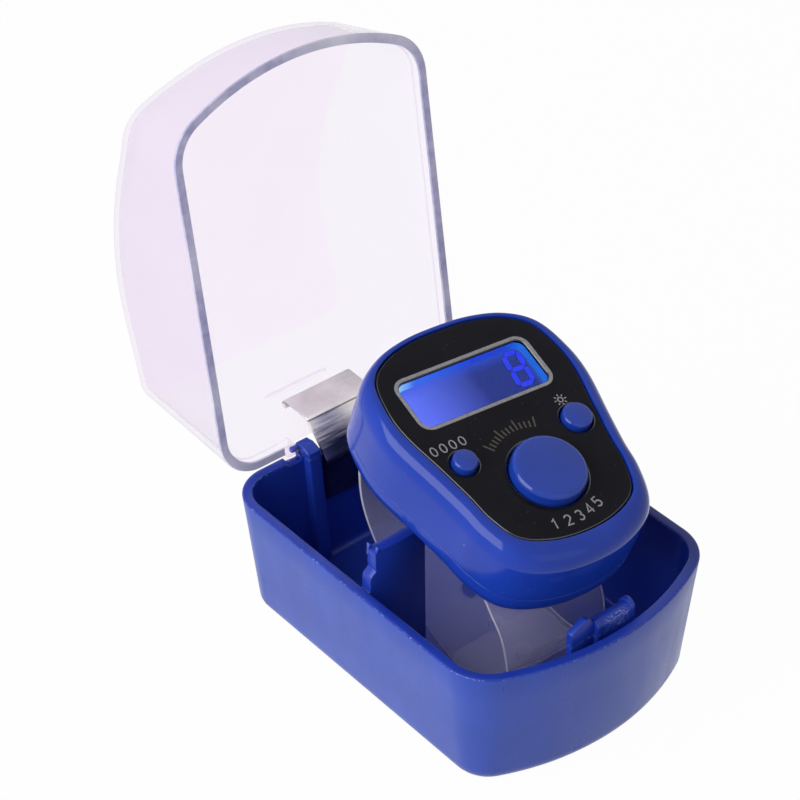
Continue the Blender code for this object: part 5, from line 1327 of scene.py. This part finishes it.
def strap_band(name, sections, paint):
    """The band, with rounded edges and a rounded free end."""
    shape = rounded_rectangle((0.0, 0.0), STRAP_WIDTH, STRAP_THICKNESS, STRAP_EDGE_R, SMALL_STEPS)
    steps = [(b[0] - a[0]).length for a, b in zip(sections, sections[1:])]
    rings = []
    for i, (middle, across) in enumerate(sections):
        normal = strap_normal(sections, i)
        left = sum(steps[i:])
        past = max(1 - left / STRAP_END_LENGTH, 0.0)
        shrink = 1.0 - STRAP_END_SHRINK * past**2
        rings.append([middle + across * x * shrink + normal * z for x, z in shape])
    return loft(name, rings, paint, None, SHARP_BEND)


def strap_head(slot_y):
    low = (-STRAP_WIDTH / 2, slot_y - STRAP_HEAD_HALF, FLOOR_TOP + GAP)
    high = (STRAP_WIDTH / 2, slot_y + STRAP_HEAD_HALF, FLOOR_TOP + GAP + STRAP_HEAD_HEIGHT)
    head = soften(box(low, high), STRAP_HEAD_EDGE_R)
    head.data.transform(COUNTER)
    return head


def strap_peg(sections, from_end, profile):
    i = len(sections) - 1 - from_end
    peg = turned("peg", (0.0, 0.0), profile, sides=WELL_SIDES)
    turn = Vector((0.0, 0.0, 1.0)).rotation_difference(strap_normal(sections, i)).to_matrix().to_4x4()
    peg.data.transform(Matrix.Translation(sections[i][0] * MM) @ turn)
    return peg


def strap_half(name, path, slot_y, paint):
    band = strap_band(name, strap_sections(path, slot_y, STRAP_STEPS), paint)
    return fuse(band, strap_head(slot_y))


def strap_halves(paint, edge_paint):
    """The long half with its holes, and the short one that laps it, with its studs."""
    path = strap_path(LONG_STRAP)
    coarse = strap_sections(path, STRAP_SLOT_Y[0], COARSE_STEPS)
    long_half = strap_half("strap_long_band", path, STRAP_SLOT_Y[0], paint)
    reach = STRAP_THICKNESS + OVERRUN
    hole = ((STRAP_HOLE_R, -reach), (STRAP_HOLE_R, reach))
    cut(long_half, *[strap_peg(coarse, i, hole) for i in HOLE_SECTIONS])
    last = len(coarse) - 1
    lap = [coarse[i][0] - strap_normal(coarse, i) * LAP_DEPTH for i in range(last, last - LAP_SECTIONS, -1)]
    path = (*strap_path(SHORT_STRAP), *((place.y, place.z) for place in lap))
    short_half = strap_half("strap_short_band", path, STRAP_SLOT_Y[1], paint)
    clear = STRAP_THICKNESS / 2 + 2 * GAP
    stud = [(STUD_R, -LAP_DEPTH), (STUD_R, clear)]
    stud += [(STUD_HEAD_R - STUD_BEVEL, clear), (STUD_HEAD_R, clear + STUD_LIP)]
    for share in STUD_DOME_SHARES:
        stud.append((STUD_HEAD_R * share, clear + STUD_HEAD_HEIGHT * math.sqrt(1 - share**2)))
    fuse(short_half, *[strap_peg(coarse, i, stud) for i in STUD_SECTIONS])
    for half in (long_half, short_half):
        second_finish(half, edge_paint, is_strap_edge)
    return long_half, short_half


def is_strap_edge(face):
    return abs(face.normal.x) > STRAP_SLOPE and abs(face.center.x) > (STRAP_WIDTH / 2 - STRAP_BAND) * MM


# ---- Setting ----


def seen_ray(tree):
    """1 for a ray to the camera, off a gloss or through a clear piece, and 0 for one that lights things."""
    path = tree.nodes.new("ShaderNodeLightPath")
    seen = path.outputs["Is Camera Ray"]
    for kind in ("Is Glossy Ray", "Is Transmission Ray"):
        larger = tree.nodes.new("ShaderNodeMath")
        larger.operation = "MAXIMUM"
        tree.links.new(seen, larger.inputs[0])
        tree.links.new(path.outputs[kind], larger.inputs[1])
        seen = larger.outputs[0]
    return seen


def stage_floor():
    """A pale floor that looks white where it is seen and keeps a soft shadow."""
    bpy.ops.mesh.primitive_plane_add(size=FLOOR_SIZE, location=FLOOR_PLACE)
    floor = bpy.context.object
    floor.name = "floor"
    material = bpy.data.materials.new("floor_white")
    material.use_nodes = True
    tree = material.node_tree
    tree.nodes.clear()
    kinds = ("OutputMaterial", "BsdfDiffuse", "Emission", "Math", "MixShader")
    output, plain, glow, share, mix = (tree.nodes.new(f"ShaderNode{kind}") for kind in kinds)
    plain.inputs["Color"].default_value = (0.78, 0.78, 0.79, 1.0)
    glow.inputs["Color"].default_value = (1.0, 1.0, 1.0, 1.0)
    glow.inputs["Strength"].default_value = 1.0
    share.operation = "MULTIPLY"
    share.inputs[1].default_value = FLOOR_GLOW
    tree.links.new(seen_ray(tree), share.inputs[0])
    for i, source in enumerate((share, plain, glow)):
        tree.links.new(source.outputs[0], mix.inputs[i])
    tree.links.new(mix.outputs[0], output.inputs["Surface"])
    floor.data.materials.append(material)


def set_world():
    """White where it is seen, and dimmer as a light."""
    world = bpy.data.worlds.new("studio")
    bpy.context.scene.world = world
    world.use_nodes = True
    tree = world.node_tree
    back, span = tree.nodes["Background"], tree.nodes.new("ShaderNodeMapRange")
    span.inputs["To Min"].default_value = WORLD_LIGHT
    span.inputs["To Max"].default_value = 1.0
    tree.links.new(seen_ray(tree), span.inputs["Value"])
    tree.links.new(span.outputs["Result"], back.inputs["Strength"])
    back.inputs["Color"].default_value = (1.0, 1.0, 1.0, 1.0)


def area_light(name, place, size, power):
    light = bpy.data.lights.new(name, "AREA")
    light.shape = "RECTANGLE"
    light.size = light.size_y = size
    light.energy = power
    lamp = bpy.data.objects.new(name, light)
    lamp.location = place
    aim = Vector(LAMP_AIM) - Vector(place)
    lamp.rotation_euler = aim.to_track_quat("-Z", "Y").to_euler()
    bpy.context.scene.collection.objects.link(lamp)


def set_camera():
    camera = bpy.data.cameras.new("camera")
    camera.lens = CAMERA_LENS
    camera.sensor_width = SENSOR_WIDTH
    camera.clip_start = CLIP_START
    holder = bpy.data.objects.new("camera", camera)
    holder.location = CAMERA_PLACE
    holder.rotation_euler = tuple(math.radians(a) for a in CAMERA_ANGLES)
    bpy.context.scene.collection.objects.link(holder)
    bpy.context.scene.camera = holder


def show(obj, body, *nodes, slot=None):
    """Rides one piece on its body and hides the node it stands for. The finish given as slot is not used."""
    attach(obj, body)
    if nodes:
        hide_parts(*nodes)


def build_case(paints):
    show(case_base(paints["case_blue"], paints["case_inner"]), "case", "case_base", slot="case_blue")
    lid = case_lid(paints["case_clear"], paints["case_wall"], paints["case_rim"])
    show(lid, "lid", "case_lid", slot="case_clear")
    spring = hinge_spring(paints["nickel"])
    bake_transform(spring)
    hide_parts("hinge_spring")


def build_counter(paints):
    show(upper_shell(paints["counter_blue"]), "counter", "upper_shell", slot="counter_blue")
    show(lower_shell(paints["counter_blue"]), "counter", "lower_shell", slot="counter_blue")
    plate = face_plate(paints["panel_black"], paints["panel_edge"])
    show(plate, "counter", "face_panel", slot="panel_black")
    pane, cell, well, bezel = display_pieces(paints)
    show(pane, "counter", "display_window", slot="window_clear")
    show(cell, "counter", "lcd_glass", slot="lcd_blue")
    show(well, "counter", slot="lcd_blue")
    show(bezel, "counter", slot="panel_black")
    for piece in digit_pieces(paints):
        show(piece, "counter", slot="lcd_blue")
    for piece in panel_marks(paints):
        show(piece, "counter", slot="panel_black")
    for name in BUTTONS:
        show(button(name, paints["button_blue"]), f"{name}_key", f"{name}_button", slot="counter_blue")
    halves = strap_halves(paints["strap_clear"], paints["strap_edge"])
    for half, node in zip(halves, ("strap_long", "strap_short")):
        show(half, "counter", node, slot="strap_clear")


def dress_inner_nodes(paints):
    for finish, nodes in INNER_FINISHES.items():
        for node in nodes:
            materials = NODES[node].data.materials
            materials.clear()
            materials.append(paints[finish].material)


set_camera()
bpy.context.scene.view_settings.view_transform = "Standard"
paints = make_materials()
build_case(paints)
build_counter(paints)
dress_inner_nodes(paints)
stage_floor()
set_world()
for lamp in LAMPS:
    area_light(*lamp)
